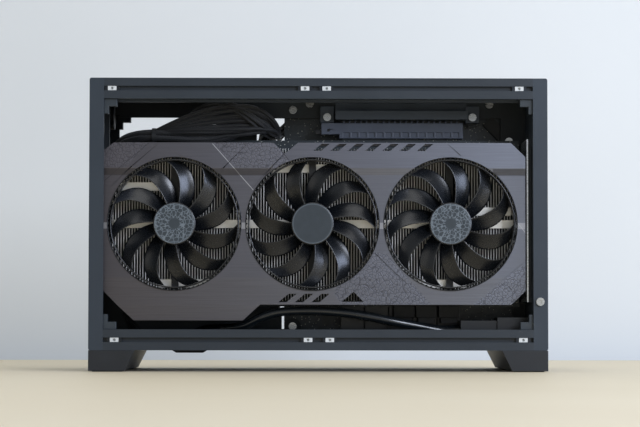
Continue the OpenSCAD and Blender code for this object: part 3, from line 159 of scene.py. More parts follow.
panel_paint = powder_coat("panel_paint", "#2c343d", "#333c46", 0.40)
rail_paint = powder_coat("rail_paint", "#262d34", "#30373f", 0.38)
skin_paint = powder_coat("skin_paint", "#2b3238", "#343c43", 0.46)
# The riser bracket gets a lighter copy of the skins' powder coat: painted light for a part that
# sits in shade inside the case.
lightened_bracket_paint = powder_coat("lightened_bracket_paint", "#39414a", "#454e58", 0.42)
spine_paint = powder_coat("spine_paint", "#1e2429", "#283036", 0.5)
supply_paint = powder_coat("supply_paint", "#1b1d20", "#22252a", 0.48, 0.7)
print("paints:", panel_paint.name, rail_paint.name, spine_paint.name)

# %% [markdown]
# Moulded plastic is shinier on thin trim and duller where the mould was textured.
# The same graph serves both, with a different relief. Rubber is the dull end of
# the same family, darker and with no sheen of its own.

# %% Moulded plastic and rubber
def moulded(name, low, high, roughness, grain_mm=0.3, depth_mm=0.02, coat=0.0):
    """Injection-moulded plastic with the fine spark texture of its mould."""
    material, tree, shader, at = start(name, Coat_Weight=coat, Coat_Roughness=0.2)
    tree.links.new(mottled(tree, at, low, high, 12), shader.inputs["Base Color"])
    grain = add(tree, "TexNoise", {"Vector": at, "Scale": per_mm(grain_mm), "Detail": 1.0})
    rough = spread(tree, grain.outputs["Fac"], roughness - 0.08, roughness + 0.08)
    tree.links.new(rough, shader.inputs["Roughness"])
    bump(tree, shader, grain.outputs["Fac"], depth_mm, 0.5)
    return material


black_plastic = moulded("black_plastic", "#121416", "#1a1d20", 0.5)
socket_plastic = moulded("socket_plastic", "#4b5260", "#5d6575", 0.34)
fan_plastic = moulded("fan_plastic", "#090c10", "#10141a", 0.27, 0.5, 0.001, 0.35)
foot_plastic = moulded("foot_plastic", "#191c20", "#20242a", 0.45, 0.4)
clip_plastic = moulded("clip_plastic", "#c9cdce", "#e2e5e6", 0.3)
latch_plastic = moulded("latch_plastic", "#181a1f", "#23262c", 0.35)
pad_rubber = moulded("pad_rubber", "#0c0d0e", "#151617", 0.85, 0.25, 0.05)
print("plastics made")

# %% [markdown]
# Bright metal takes its look from what it reflects, and from the direction in
# which it was worked. Noise squeezed along one axis gives short parallel
# scratches, and the same noise drives the roughness, so the highlight breaks up
# into streaks. The same function makes steel, nickel, copper, brass and the
# cooler's bare fins.

# %% Worked metal
def worked_metal(name, low, high, roughness, along="X", scratch_mm=0.25):
    """Metal with scratches that run along one axis."""
    material, tree, shader, at = start(name, Metallic=1.0)
    stretch = [1.0, 1.0, 1.0]
    stretch["XYZ".index(along)] = 0.04
    lines = add(tree, "Mapping", {"Vector": at, "Scale": stretch}).outputs["Vector"]
    scratch = add(tree, "TexNoise", {"Vector": lines, "Scale": per_mm(scratch_mm), "Detail": 3.0})
    tree.links.new(mottled(tree, at, low, high, 6), shader.inputs["Base Color"])
    rough = spread(tree, scratch.outputs["Fac"], roughness * 0.6, roughness * 1.4)
    tree.links.new(rough, shader.inputs["Roughness"])
    bump(tree, shader, scratch.outputs["Fac"], 0.01, 0.5)
    return material


bright_steel = worked_metal("bright_steel", "#b9bdc0", "#d8dadb", 0.28)
nickel = worked_metal("nickel", "#f0ede6", "#fbfaf6", 0.42)
copper = worked_metal("copper", "#a8704c", "#c08a64", 0.3, "Z")
brass = worked_metal("brass", "#a8924e", "#c4ae68", 0.32, "Y")
dark_aluminium = worked_metal("dark_aluminium", "#33363b", "#42464c", 0.4)
backplate_metal = worked_metal("backplate_metal", "#4c4a52", "#5d5b64", 0.38)
bare_fins = worked_metal("bare_fins", "#a9a7a4", "#c6c4c1", 0.34, "Z")
print("metals made")

# %% [markdown]
# Behind the card's fans stand thin aluminium fins. Their front edges catch the
# light and read as fine bright lines, while the gaps between them look black.
# Both are painted into the colour: the front edges are near white, a painted
# highlight lighter than the bare metal, and deeper in the colour turns dark as
# painted shade. The Y of the Object coordinates drives it from the front edge inwards.

# %% Fins of the card's heatsink
FINS_FRONT_Y = -46.3


def shaded_fins(name, front_y, fade_mm=1.8):
    """Fins painted near white at their front edge as a painted highlight, and dark from fade_mm
    deeper along Y as painted shade.
    """
    material, tree, shader, at = start(name, Metallic=0.1, Roughness=0.45)
    depth = add(tree, "SeparateXYZ", {"Vector": at}).outputs["Y"]
    shade = add(tree, "MapRange", {"Value": depth, "From Min": front_y * MM,
                                   "From Max": (front_y + fade_mm) * MM})
    mix = add(tree, "Mix", {"Factor": shade.outputs["Result"]}, data_type="RGBA")
    # Painted highlight near white at the front edge, painted shade in the dark colour deeper in.
    tree.links.new(mottled(tree, at, "#e0dedb", "#fbfaf8", 5), mix.inputs[6])
    mix.inputs[7].default_value = linear("#1a1817")
    tree.links.new(mix.outputs[2], shader.inputs["Base Color"])
    return material


card_fins = shaded_fins("card_fins", FINS_FRONT_Y)
print("fins shaded from y =", FINS_FRONT_Y, "mm")

# %% [markdown]
# The shroud of the graphics card is a grey cover with four corners that carry a
# fine engraved pattern, two bevelled bands darkened as painted shade, and seams
# between its plates.
# All of these are convex shapes in the plane of the cover. The shader finds one
# as the product of a few half-plane tests: a point is inside when it lies on the
# inner side of every edge. This needs no image and stays sharp at any distance.

# %% Masks for the shroud
FAN_Z = 104.1 * MM
FAN_X = {"left": -101.5 * MM, "middle": -4.15 * MM, "right": 93.2 * MM}
BRIDGE_Z, BRIDGE_H, BRIDGE_GAIN = 102.6 * MM, 4.4 * MM, 0.35
ZONES = [
    [(-151.5, 143.5), (-151.5, 162), (-118.3, 162), (-135.9, 143.5)],
    [(-57.9, 143.1), (-74.8, 162), (-30.5, 162), (-20.6, 148.4), (-30.4, 143.1)],
    [(39.5, 84), (47, 84), (80, 47), (16, 47), (11, 55), (14, 66)],
    [(108.8, 47), (148, 78.5), (148, 56.3), (139, 47)],
]
# Bevelled bands that turn away from the light; their darkening is painted shade.
SHADED_BANDS = [[(-152, 137.9), (-152, 143), (-30, 143), (-30, 137.9)],
         [(122.8, 137.9), (122.8, 143), (147, 143), (147, 137.9)]]
PALE_SEAMS = [((-74.9, 160.6), (-45.9, 127.7)), ((140.4, 104.8), (146, 97.8))]
DARK_SEAMS = [((-119.7, 161), (-150.7, 134.3)), ((-30.5, 161), (-20.6, 148.4))]


def strip(a, b, width=0.6):
    """The clockwise corners of a thin bar between two points: a and b moved by half the width."""
    a, b = np.array(a), np.array(b)
    n = np.array([b[1] - a[1], a[0] - b[0]]) / np.hypot(*(b - a)) * width / 2
    return [tuple(v) for v in (a - n, b - n, b + n, a + n)]


def half_plane(tree, at, a, b, soft_mm):
    """1 left of the line from a to b (X and Z, mm), 0 right of it: clamp((n.p - n.a) / soft_mm)."""
    n = np.array([-(b[1] - a[1]), b[0] - a[0]], float)
    n /= np.hypot(*n)
    dot = add(tree, "VectorMath", {0: at, 1: (n[0] / MM, 0, n[1] / MM)}, operation="DOT_PRODUCT")
    return add(tree, "MapRange", {"Value": dot.outputs["Value"], "From Min": float(n @ a),
                                  "From Max": float(n @ a) + soft_mm}).outputs["Result"]


def times(tree, a, b, operation="MULTIPLY"):
    """The product of two values, or their sum, difference or larger one, by its operation."""
    return add(tree, "Math", {0: a, 1: b}, operation=operation).outputs["Value"]


def zone_mask(tree, at, corners, soft_mm=0.4):
    """1 inside a convex polygon given clockwise, as the product of its half-planes."""
    mask = 1.0
    for a, b in zip(corners, corners[1:] + corners[:1]):
        mask = times(tree, mask, half_plane(tree, at, b, a, soft_mm))
    return mask


def mask_of(tree, at, shapes, soft_mm=0.4):
    """1 inside any of several convex shapes: the sum of their masks."""
    total = 0.0
    for corners in shapes:
        total = times(tree, total, zone_mask(tree, at, corners, soft_mm), "ADD")
    return total


print("shapes on the shroud:", len(ZONES), "patterned,", len(SHADED_BANDS), "bands")

# %% [markdown]
# The cover itself is brushed metal paint: noise stretched along X gives long
# streaks. Its colour runs from a darker left end to a lighter right end, which is
# painted light, as the light falls stronger on the right. In the patterned corners
# a Voronoi texture draws the edges of small cells, which makes a plain crackle. The
# masks then mix in the pale and the dark parts, where the dark of the bevelled bands
# is painted shade, and the same lines press the surface in.

# %% The shroud's finish
def brushed_shroud():
    """Grey cover: long fine streaks along X, a lighter right end as painted light, engraved
    lines inside the zones, bevelled bands darkened as painted shade, and the seams of its inlaid
    plates."""
    material, tree, shader, at = start("brushed_shroud", Metallic=0.55, Specular_IOR_Level=0.5)
    lines = add(tree, "Mapping", {"Vector": at, "Scale": (0.02, 1, 1)}).outputs["Vector"]
    streak = add(tree, "TexNoise", {"Vector": lines, "Scale": per_mm(0.7), "Detail": 4.0})
    cells = add(tree, "TexVoronoi", {"Vector": at, "Scale": per_mm(2.5)},
                feature="DISTANCE_TO_EDGE")
    line = add(tree, "MapRange", {"Value": cells.outputs["Distance"], "From Min": 0.02,
                                  "From Max": 0.1, "To Min": 1.0, "To Max": 0.0}).outputs["Result"]
    zone = mask_of(tree, at, ZONES)
    engraved = times(tree, zone, line)
    base = add(tree, "Mix", {"Factor": streak.outputs["Fac"]}, data_type="RGBA")
    place = add(tree, "SeparateXYZ", {"Vector": at}).outputs
    # Painted light: the colour grows lighter towards the right end, where the light falls stronger.
    far = add(tree, "MapRange", {"Value": place["X"], "From Min": -0.15,
                                 "From Max": 0.146}).outputs["Result"]
    for socket, left, right in ((6, "#494649", "#686b75"), (7, "#5c595e", "#7f838e")):
        tint = add(tree, "Mix", {"Factor": far}, data_type="RGBA")
        tint.inputs[6].default_value = linear(left)
        tint.inputs[7].default_value = linear(right)
        tree.links.new(tint.outputs[2], base.inputs[socket])
    stripe = add(tree, "Math", {0: place["Z"], 1: BRIDGE_Z, 2: BRIDGE_H / 2}, operation="COMPARE")
    lit = times(tree, stripe.outputs["Value"], BRIDGE_GAIN)
    seams = mask_of(tree, at, [strip(*ends) for ends in PALE_SEAMS], 0.15)
    bridge = times(tree, lit, times(tree, seams, 0.6), "MAXIMUM")
    pale = add(tree, "Mix", {"Factor": bridge}, data_type="RGBA")
    tree.links.new(base.outputs[2], pale.inputs[6])
    pale.inputs[7].default_value = linear("#d4d5d9")
    shut = mask_of(tree, at, [strip(*ends) for ends in DARK_SEAMS], 0.15)
    # Painted shade on the bevelled bands.
    bevel_shade = times(tree, mask_of(tree, at, SHADED_BANDS), 0.6)
    shade = times(tree, bevel_shade, times(tree, shut, 0.8), "MAXIMUM")
    cover = times(tree, times(tree, engraved, 0.55), shade, "MAXIMUM")
    dark = add(tree, "Mix", {"Factor": cover}, data_type="RGBA")
    tree.links.new(pale.outputs[2], dark.inputs[6])
    dark.inputs[7].default_value = linear("#2b2a30")
    tree.links.new(dark.outputs[2], shader.inputs["Base Color"])
    rough = add(tree, "MapRange", {"Value": zone, "To Min": 0.36, "To Max": 0.5})
    tree.links.new(rough.outputs["Result"], shader.inputs["Roughness"])
    relief = times(tree, times(tree, streak.outputs["Fac"], 0.12), engraved, "SUBTRACT")
    bump(tree, shader, relief, 0.12, 0.7)
    return material


shroud_finish = brushed_shroud()
print("shroud finish made:", len(shroud_finish.node_tree.nodes), "nodes")

# %% [markdown]
# A circuit board is glass fibre under dark lacquer. Its copper tracks show as
# slightly raised lines, and its solder joints as pale points. Two Voronoi
# textures make these: the edges of large square cells for the tracks, and the
# centres of small cells for the joints.

# %% Circuit boards
def circuit_board(name, low, high):
    """Dark lacquer with raised tracks and pale solder points."""
    material, tree, shader, at = start(name, Roughness=0.36, Specular_IOR_Level=0.6)
    tracks = add(tree, "TexVoronoi", {"Vector": at, "Scale": per_mm(5)},
                 feature="DISTANCE_TO_EDGE")
    track = add(tree, "MapRange", {"Value": tracks.outputs["Distance"], "From Max": 0.12,
                                   "To Min": 1.0, "To Max": 0.0}).outputs["Result"]
    points = add(tree, "TexVoronoi", {"Vector": at, "Scale": per_mm(2.4)}, feature="F1")
    point = add(tree, "MapRange", {"Value": points.outputs["Distance"], "From Min": 0.14,
                                   "From Max": 0.2, "To Min": 1.0, "To Max": 0.0}).outputs["Result"]
    chosen = add(tree, "Math", {0: points.outputs["Color"], 1: 0.5}, operation="GREATER_THAN")
    joint = times(tree, point, chosen.outputs["Value"])
    base = mottled(tree, at, low, high, 9)
    mix = add(tree, "Mix", {"Factor": joint}, data_type="RGBA")
    tree.links.new(base, mix.inputs[6])
    mix.inputs[7].default_value = linear("#a7a89f")
    tree.links.new(mix.outputs[2], shader.inputs["Base Color"])
    bump(tree, shader, times(tree, times(tree, track, 0.4), joint, "ADD"), 0.15, 0.6)
    return material


board_finish = circuit_board("board_finish", "#1f2930", "#2e3940")
print("board finish made")

# %% [markdown]
# Cables are sleeved in a tight braid, and the mains lead has a smooth glossy
# jacket. The braid needs coordinates that follow the cable, so every tube made
# below has a UV map: U runs round it once and V along it in millimetres. Two
# crossing waves in U and V give the braid's diamonds.

# %% Cable finishes
def braided_sleeve(name, low, high, strands=10, pitch_mm=2.4):
    """Woven sleeve: max of two crossing sine waves, sin(2 pi (s U + V/p)) and its mirror."""
    material, tree, shader, at = start(name, Roughness=0.55, Sheen_Weight=0.15)
    uv = add(tree, "TexCoord").outputs["UV"]
    parts = add(tree, "SeparateXYZ", {"Vector": uv})
    round_it = times(tree, parts.outputs["X"], 2 * math.pi * strands)
    along = times(tree, parts.outputs["Y"], 2 * math.pi / pitch_mm)
    one = times(tree, times(tree, round_it, along, "ADD"), 0.0, "SINE")
    two = times(tree, times(tree, round_it, along, "SUBTRACT"), 0.0, "SINE")
    weave = times(tree, one, two, "MAXIMUM")
    mix = add(tree, "Mix", {"Factor": spread(tree, weave, 0.35, 1.0)}, data_type="RGBA")
    mix.inputs[6].default_value = linear(low)
    mix.inputs[7].default_value = linear(high)
    tree.links.new(mix.outputs[2], shader.inputs["Base Color"])
    bump(tree, shader, weave, 0.12, 0.5)
    return material


def glossy_jacket(name, low, high, roughness=0.22):
    """Smooth extruded jacket with a faint waviness along it."""
    material, tree, shader, at = start(name, Coat_Weight=0.4, Coat_Roughness=0.15)
    tree.links.new(mottled(tree, at, low, high, 20), shader.inputs["Base Color"])
    wavy = add(tree, "TexNoise", {"Vector": at, "Scale": per_mm(7), "Detail": 2.0})
    rough = spread(tree, wavy.outputs["Fac"], roughness - 0.05, roughness + 0.1)
    tree.links.new(rough, shader.inputs["Roughness"])
    bump(tree, shader, wavy.outputs["Fac"], 0.08, 0.4)
    return material


sleeve = braided_sleeve("sleeve", "#08090a", "#17191c")
jacket = glossy_jacket("jacket", "#0e1215", "#171c20")
ribbon_finish = glossy_jacket("ribbon_finish", "#14171b", "#1e2227", 0.3)
print("cable finishes made")

# %% [markdown]
# The round caps on the hubs are dark lacquered plates. Those on the outer fans
# carry thin pale lines of a plain design, and the middle one is bare. The shader
# works out each point's distance from the hub's centre and its angle. Cells laid
# out in these two values curve round the hub, and their edges are the lines.

# %% Hub caps
def hub_cap_finish(name, centre_x, lined):
    """Lacquered disc with a pale rim; if lined, the edges of cells over (0.36 r, 12 a / pi)."""
    material, tree, shader, at = start(name, Roughness=0.34, Specular_IOR_Level=0.5)
    from_hub = add(tree, "VectorMath", {0: at, 1: (centre_x, 0, FAN_Z)}, operation="SUBTRACT")
    flat = add(tree, "VectorMath", {0: from_hub.outputs["Vector"], 1: (1 / MM, 0, 1 / MM)},
               operation="MULTIPLY")
    size = add(tree, "VectorMath", {0: flat.outputs["Vector"]}, operation="LENGTH")
    radius = size.outputs["Value"]
    base = mottled(tree, at, "#2d343a", "#3a4249", 5)
    rim = add(tree, "MapRange", {"Value": radius, "From Min": 13.2, "From Max": 13.8})
    pale = times(tree, rim.outputs["Result"], 0.35)
    if lined:
        parts = add(tree, "SeparateXYZ", {"Vector": flat.outputs["Vector"]})
        angle = times(tree, parts.outputs["Z"], parts.outputs["X"], "ARCTAN2")
        cells = add(tree, "CombineXYZ", {"X": times(tree, radius, 0.36),
                                         "Y": times(tree, angle, 12 / math.pi)})
        edges = add(tree, "TexVoronoi", {"Vector": cells.outputs["Vector"], "Scale": 1.0,
                                         "Randomness": 0.7}, feature="DISTANCE_TO_EDGE")
        line = add(tree, "MapRange", {"Value": edges.outputs["Distance"], "From Min": 0.03,
                                      "From Max": 0.09, "To Min": 1.0, "To Max": 0.0})
        outside = add(tree, "MapRange", {"Value": radius, "From Min": 3.6, "From Max": 4.0})
        drawn = times(tree, line.outputs["Result"], outside.outputs["Result"])
        pale = times(tree, pale, times(tree, drawn, 0.75), "MAXIMUM")
    mix = add(tree, "Mix", {"Factor": pale}, data_type="RGBA")
    tree.links.new(base, mix.inputs[6])
    mix.inputs[7].default_value = linear("#78828b")
    tree.links.new(mix.outputs[2], shader.inputs["Base Color"])
    grain = add(tree, "TexNoise", {"Vector": at, "Scale": per_mm(0.3)})
    bump(tree, shader, grain.outputs["Fac"], 0.01, 0.4)
    return material


cap_finish = {side: hub_cap_finish("cap_" + side, x, side != "middle")
              for side, x in FAN_X.items()}
print("caps:", sorted(cap_finish))

# %% [markdown]
# Every CAD piece now gets its finish. A piece's shape stays as the CAD made it;
# only its material changes. Real edges are never perfectly sharp, and the thin
# bright line on a worn or rounded edge is what makes a render look solid, so the
# panels, rails and plates also get a Weld and a Bevel modifier of a third of a
# millimetre.

# %% Finishes for the CAD pieces
FINISHES = {
    panel_paint: "front_panel rear_panel",
    rail_paint: "rail_top_near rail_top_far rail_bottom_near rail_bottom_far",
    skin_paint: "top_skin bottom_skin corner_brackets",
    lightened_bracket_paint: "riser_bracket",
    spine_paint: "spine",
    supply_paint: "psu_case",
    bright_steel: "case_screws spine_screws card_bracket card_ports io_ports psu_grille "
                  "power_button",
    clip_plastic: "panel_clips",
    foot_plastic: "foot_front foot_rear",
    pad_rubber: "foot_pads",
    brass: "board_standoffs",
    board_finish: "mainboard card_board riser_board",
    black_plastic: "board_connectors memory_modules fan_mounts card_power_sockets power_plugs "
                   "riser_plug psu_sockets power_inlet lead_plugs cable_ties button_holder",
    socket_plastic: "riser_socket",
    latch_plastic: "riser_latch",
    dark_aluminium: "board_heatsinks clip_springs",
    bare_fins: "cooler_fins",
    card_fins: "card_heatsink",
    copper: "cooler_base",
    nickel: "card_heat_pipes",
    fan_plastic: "cooler_fan_frame cooler_rotor psu_rotor",
    shroud_finish: "card_shroud",
    backplate_metal: "card_backplate",
    ribbon_finish: "riser_ribbon",
    cap_finish["left"]: "hub_cap_left",
    cap_finish["middle"]: "hub_cap_middle",
    cap_finish["right"]: "hub_cap_right",
}
ROUNDED = ("front_panel rear_panel rail_top_near rail_top_far rail_bottom_near rail_bottom_far "
           "foot_front foot_rear card_shroud corner_brackets riser_socket riser_bracket "
           "psu_case card_backplate lead_plugs power_plugs")


def paint(piece, material):
    """Puts one material in every slot of a piece."""
    if not piece.data.materials:
        piece.data.materials.append(material)
    for i in range(len(piece.data.materials)):
        piece.data.materials[i] = material


def round_edges(piece, width_mm=0.3):
    """Joins the split corners of an imported mesh, then rounds edges sharper than 35 degrees."""
    piece.modifiers.new("weld", "WELD").merge_threshold = 1e-5
    bevel = piece.modifiers.new("bevel", "BEVEL")
    bevel.width = width_mm * MM
    bevel.segments = 2
    bevel.limit_method = "ANGLE"
    bevel.angle_limit = math.radians(35)
    bevel.harden_normals = True


for material, names in FINISHES.items():
    for name in names.split():
        paint(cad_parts[name], material)
for name in ROUNDED.split():
    round_edges(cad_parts[name])
print("painted:", sum(len(names.split()) for names in FINISHES.values()), "CAD pieces")

# %% [markdown]
# Blender pieces are built as closed skins of rings. One helper joins the rings
# into faces, another makes a mesh object from points and faces, gives it its
# material and smooth shading, and lets it ride on a body of the frame. Both
# work on whole arrays, so no loop touches single points.

# %% Helpers for meshes
def ring_faces(rings, sides, closed=True):
    """Quads between neighbouring rings of points, as an array of four indices each."""
    i, j = np.meshgrid(np.arange(rings - 1), np.arange(sides), indexing="ij")
    a = i * sides + j
    b = i * sides + (j + 1) % sides
    quads = np.stack([a, b, b + sides, a + sides], -1).reshape(-1, 4)
    return quads if closed else quads.reshape(rings - 1, sides, 4)[:, :-1].reshape(-1, 4)


def repeated(points, faces):
    """Points of shape (copies, n, 3) and the faces of one copy, as one list of each."""
    copies, n = points.shape[:2]
    all_faces = (faces[None] + n * np.arange(copies)[:, None, None]).reshape(-1, faces.shape[1])
    return points.reshape(-1, 3), all_faces


def make_piece(name, points, faces, material, body, slot, smooth=True, uv=None):
    """A mesh object from arrays, with its material and its body. The slot argument is not used."""
    mesh = bpy.data.meshes.new(name)
    mesh.from_pydata(points, [], faces)
    mesh.polygons.foreach_set("use_smooth", np.full(len(mesh.polygons), smooth))
    if uv is not None:
        corners = np.empty(len(mesh.loops), int)
        mesh.loops.foreach_get("vertex_index", corners)
        mesh.uv_layers.new(name="UVMap").data.foreach_set("uv", uv[corners].ravel())
    mesh.update()
    piece = bpy.data.objects.new(name, mesh)
    bpy.context.scene.collection.objects.link(piece)
    piece.data.materials.append(material)
    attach(piece, body)
    return piece


def revolved(profile, segments, centre):
    """Turns a closed profile of (radius, y) about a line along Y: (r cos a, y, r sin a)."""
    a = np.linspace(0, 2 * np.pi, segments, endpoint=False)[:, None]
    r, y = np.array(profile, float).T
    ring = np.stack([r * np.cos(a), np.broadcast_to(y, (segments, len(r))), r * np.sin(a)], -1)
    n = len(r)
    i, j = np.meshgrid(np.arange(segments), np.arange(n), indexing="ij")
    k, m = (i + 1) % segments, (j + 1) % n
    faces = np.stack([i * n + j, k * n + j, k * n + m, i * n + m], -1).reshape(-1, 4)
    return ring.reshape(-1, 3) * MM + np.array(centre), faces


print("mesh helpers ready")

# %% [markdown]
# Each fan of the card has eleven sickle blades between a hub and a thin outer
# ring. A blade is a sheet that sweeps forward as it goes out, gets narrower in
# angle, and is cupped and pitched so that its leading edge stands nearest to us.
# It is made as a grid over u (hub to ring) and v (edge to edge), with a skin on
# each side, so the edges can be rounded. The middle fan turns the other way, so
# the outer fans are its mirror image.

# %% Fan blades
HUB_R, RING_R, BLADES = 14.6, 45.5, 11
FRONT_Y, BACK_Y = -62.9, -54.2
FIRST_BLADE = 30
STEPS_OUT, STEPS_ACROSS = 25, 15


def blade_skins(hand):
    """All blades of one fan.
    angle = start + hand (18 u + 10 u^4 + (32 - 18 u^0.9)(v - 1/2)), r = hub + u (ring - hub),
    y runs from the front at the leading edge to the back, bulged by sin(pi v)."""
    u = np.linspace(0, 1, STEPS_OUT)[:, None]
    v = np.linspace(0, 1, STEPS_ACROSS)[None, :]
    r = HUB_R - 0.5 + u * (RING_R - 0.7 - HUB_R)
    centre = 18 * u + 10 * u ** 4
    width = 32 - 18 * u ** 0.9
    angle = np.radians(hand * (centre + width * (v - 0.5)))
    depth = BACK_Y - FRONT_Y - 0.9
    fall = (1 - v) * (0.92 - 0.12 * u) + 0.02
    y = FRONT_Y + depth * (fall + 0.13 * np.sin(np.pi * v) * (1 - 0.4 * u))
    thick = 0.9 * np.sqrt(np.clip(4 * v * (1 - v), 0.03, 1)) * np.ones_like(u)
    front = np.stack([r * np.cos(angle), y, r * np.sin(angle)], -1)
    back = np.stack([r * np.cos(angle), y + thick, r * np.sin(angle)], -1)
    one = np.concatenate([front, back[:, ::-1]], axis=1)
    faces = ring_faces(STEPS_OUT, 2 * STEPS_ACROSS)
    turn = np.radians(360 / BLADES * np.arange(BLADES) + FIRST_BLADE)[:, None]
    x, y, z = one.reshape(-1, 3).T
    points = np.stack([x * np.cos(turn) - z * np.sin(turn), np.broadcast_to(y, (BLADES, len(y))),
                       x * np.sin(turn) + z * np.cos(turn)], -1)
    return repeated(points, faces[:, ::-1] if hand > 0 else faces)


print("blades on a fan:", BLADES)

# %% [markdown]
# The hub is a cup and the outer ring a thin band. Both are round, so a closed
# outline of radius and depth is turned about the fan's axis. Hub, ring and
# blades are joined into one piece, which takes the place of the plain CAD rotor
# and rides on the same body, so it spins with it.

# %% Card fans
def card_fan(side, hand):
    """Hub, ring and blades of one card fan as one piece."""
    centre = np.array([FAN_X[side], 0, FAN_Z])
    blades, blade_faces = blade_skins(hand)
    hub, hub_faces = revolved([(15, -63.2), (15, -53.2), (13.4, -53.2), (13.4, -61.8),
                               (0.1, -61.8), (0.1, -63.5), (14.4, -63.5)], 64, centre)
    ring, ring_quads = revolved([(RING_R, -63.4), (RING_R, -54), (RING_R - 0.7, -53.6),
                                 (RING_R - 1, -54), (RING_R - 1, -63.4), (RING_R - 0.5, -63.7)],
                                96, centre)
    points = np.concatenate([blades * MM + centre, hub, ring])
    faces = np.concatenate([blade_faces, hub_faces + len(blades),
                            ring_quads + len(blades) + len(hub)])
    piece = make_piece("fan_blades_" + side, points, faces, fan_plastic, "fan_" + side,
                       "fan_plastic")
    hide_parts("card_rotor_" + side)
    return piece


fans = [card_fan("left", 1), card_fan("middle", -1), card_fan("right", 1)]
print("fan faces:", [len(f.data.polygons) for f in fans])

# %% [markdown]
# Round each fan opening the cover turns inwards and ends in a row of fine
# teeth, which the camera sees as a dashed rim. A lip with a rounded edge
# catches the light along the opening, and 84 small blocks repeat inside it.

# %% Rims of the fan openings
RIM_TEETH = 84
LIP_R, LIP_Y = 47.05, -63.0
TOOTH_IN, TOOTH_OUT = 46.1, 47.1
TOOTH_FRONT, TOOTH_BACK = -62.4, -60.9
TOOTH_HALF = 0.6


def opening_rim(side):
    """A rounded lip on the opening's edge and the teeth inside it, behind the blades' ring."""
    centre = np.array([FAN_X[side], 0, FAN_Z])
    a = np.linspace(0, 2 * np.pi, 10, endpoint=False)
    section = np.stack([LIP_R + 0.35 * np.cos(a), LIP_Y + 0.45 * np.sin(a)], -1)
    lip, lip_faces = revolved(section, 128, centre)
    turn = 2 * np.pi * np.arange(RIM_TEETH) / RIM_TEETH
    around = ((TOOTH_IN, -TOOTH_HALF), (TOOTH_OUT, -TOOTH_HALF), (TOOTH_OUT, TOOTH_HALF),
              (TOOTH_IN, TOOTH_HALF))
    corner = np.array([[r, t, y] for y in (TOOTH_FRONT, TOOTH_BACK) for r, t in around])
    r, t, y = corner.T
    c, s = np.cos(turn)[:, None], np.sin(turn)[:, None]
    teeth = np.stack([r * c - t * s, np.broadcast_to(y, (RIM_TEETH, 8)), r * s + t * c], -1)
    block = np.array([(0, 1, 2, 3), (7, 6, 5, 4), (0, 4, 5, 1), (1, 5, 6, 2), (2, 6, 7, 3),
                      (3, 7, 4, 0)])
    points, faces = repeated(teeth, block)
    everything = np.concatenate([lip, points * MM + centre])
    return make_piece("rim_" + side, everything, np.concatenate([lip_faces, faces + len(lip)]),
                      fan_plastic, "chassis", "fan_plastic", smooth=False)


rims = [opening_rim(side) for side in FAN_X]
print("rims:", len(rims), "with", RIM_TEETH, "teeth each")

# %% [markdown]
# Cables are swept tubes. A few given points are joined by a smooth
# curve (Catmull-Rom), and a frame of two directions is carried along it without
# twisting, so that circles can be laid across it. Each tube also gets its UV map
# here: once round in U, and the run along it in V.

# %% Helpers for cables
def smooth_path(points, per_span=8):
    """Catmull-Rom curve: 0.5 (2b + (c-a)t + (2a-5b+4c-d)t^2 + (3b-a-3c+d)t^3)."""
    p = np.asarray(points, float)
    p = np.concatenate([p[:1] * 2 - p[1:2], p, p[-1:] * 2 - p[-2:-1]])
    t = np.linspace(0, 1, per_span, endpoint=False)[None, :, None]
    a, b, c, d = (p[i:len(p) - 3 + i, None, :] for i in range(4))
    curve = 0.5 * (2 * b + (c - a) * t + (2 * a - 5 * b + 4 * c - d) * t ** 2
                   + (3 * b - a - 3 * c + d) * t ** 3)
    return np.concatenate([curve.reshape(-1, 3), p[-2:-1]])


def carried_frame(path):
    """Two directions across the path at every point, carried along it without twist."""
    tangent = np.gradient(path, axis=0)
    tangent /= np.linalg.norm(tangent, axis=1, keepdims=True)
    across = np.empty_like(path)
    side = np.cross(tangent[0], (0.3, 0.9, 0.2))
    for i, t in enumerate(tangent):
        side = side - t * (side @ t)
        side /= np.linalg.norm(side)
        across[i] = side
    return across, np.cross(tangent, across)


def tube(path, radius, sides=12):
    """Points, faces, UV and length of a round tube: p + r (n cos a + b sin a); V is the run."""
    n, b = carried_frame(path)
    a = np.linspace(0, 2 * np.pi, sides + 1)[:, None]
    ring = radius * (np.cos(a) * n[:, None] + np.sin(a) * b[:, None])
    points = (path[:, None] + ring).reshape(-1, 3)
    run = np.concatenate([[0], np.cumsum(np.linalg.norm(np.diff(path, axis=0), axis=1))])
    uv = np.stack(np.broadcast_arrays(a[:, 0] / (2 * np.pi), run[:, None]), -1).reshape(-1, 2)
    return points, ring_faces(len(path), sides + 1, closed=False), uv, run[-1]


def joined(parts):
    """Several (points, faces, uv) sets as one."""
    offsets = np.cumsum([0] + [len(p[0]) for p in parts[:-1]])
    return (np.concatenate([p[0] for p in parts]),
            np.concatenate([p[1] + o for p, o in zip(parts, offsets)]),
            np.concatenate([p[2] for p in parts]))


print("cable helpers ready")

# %% [markdown]
# The routes repeat the ones of the CAD model, in millimetres. The two looms
# over the card leave the power supply, come round the edge of the spine to the
# card's side, cross the top left in loose loops and dive back to the board.
# Between those two, loose wires fan out from the first tie and meet again where
# the looms dive back. FAN_LOW and FAN_HIGH are the lowest and the highest.

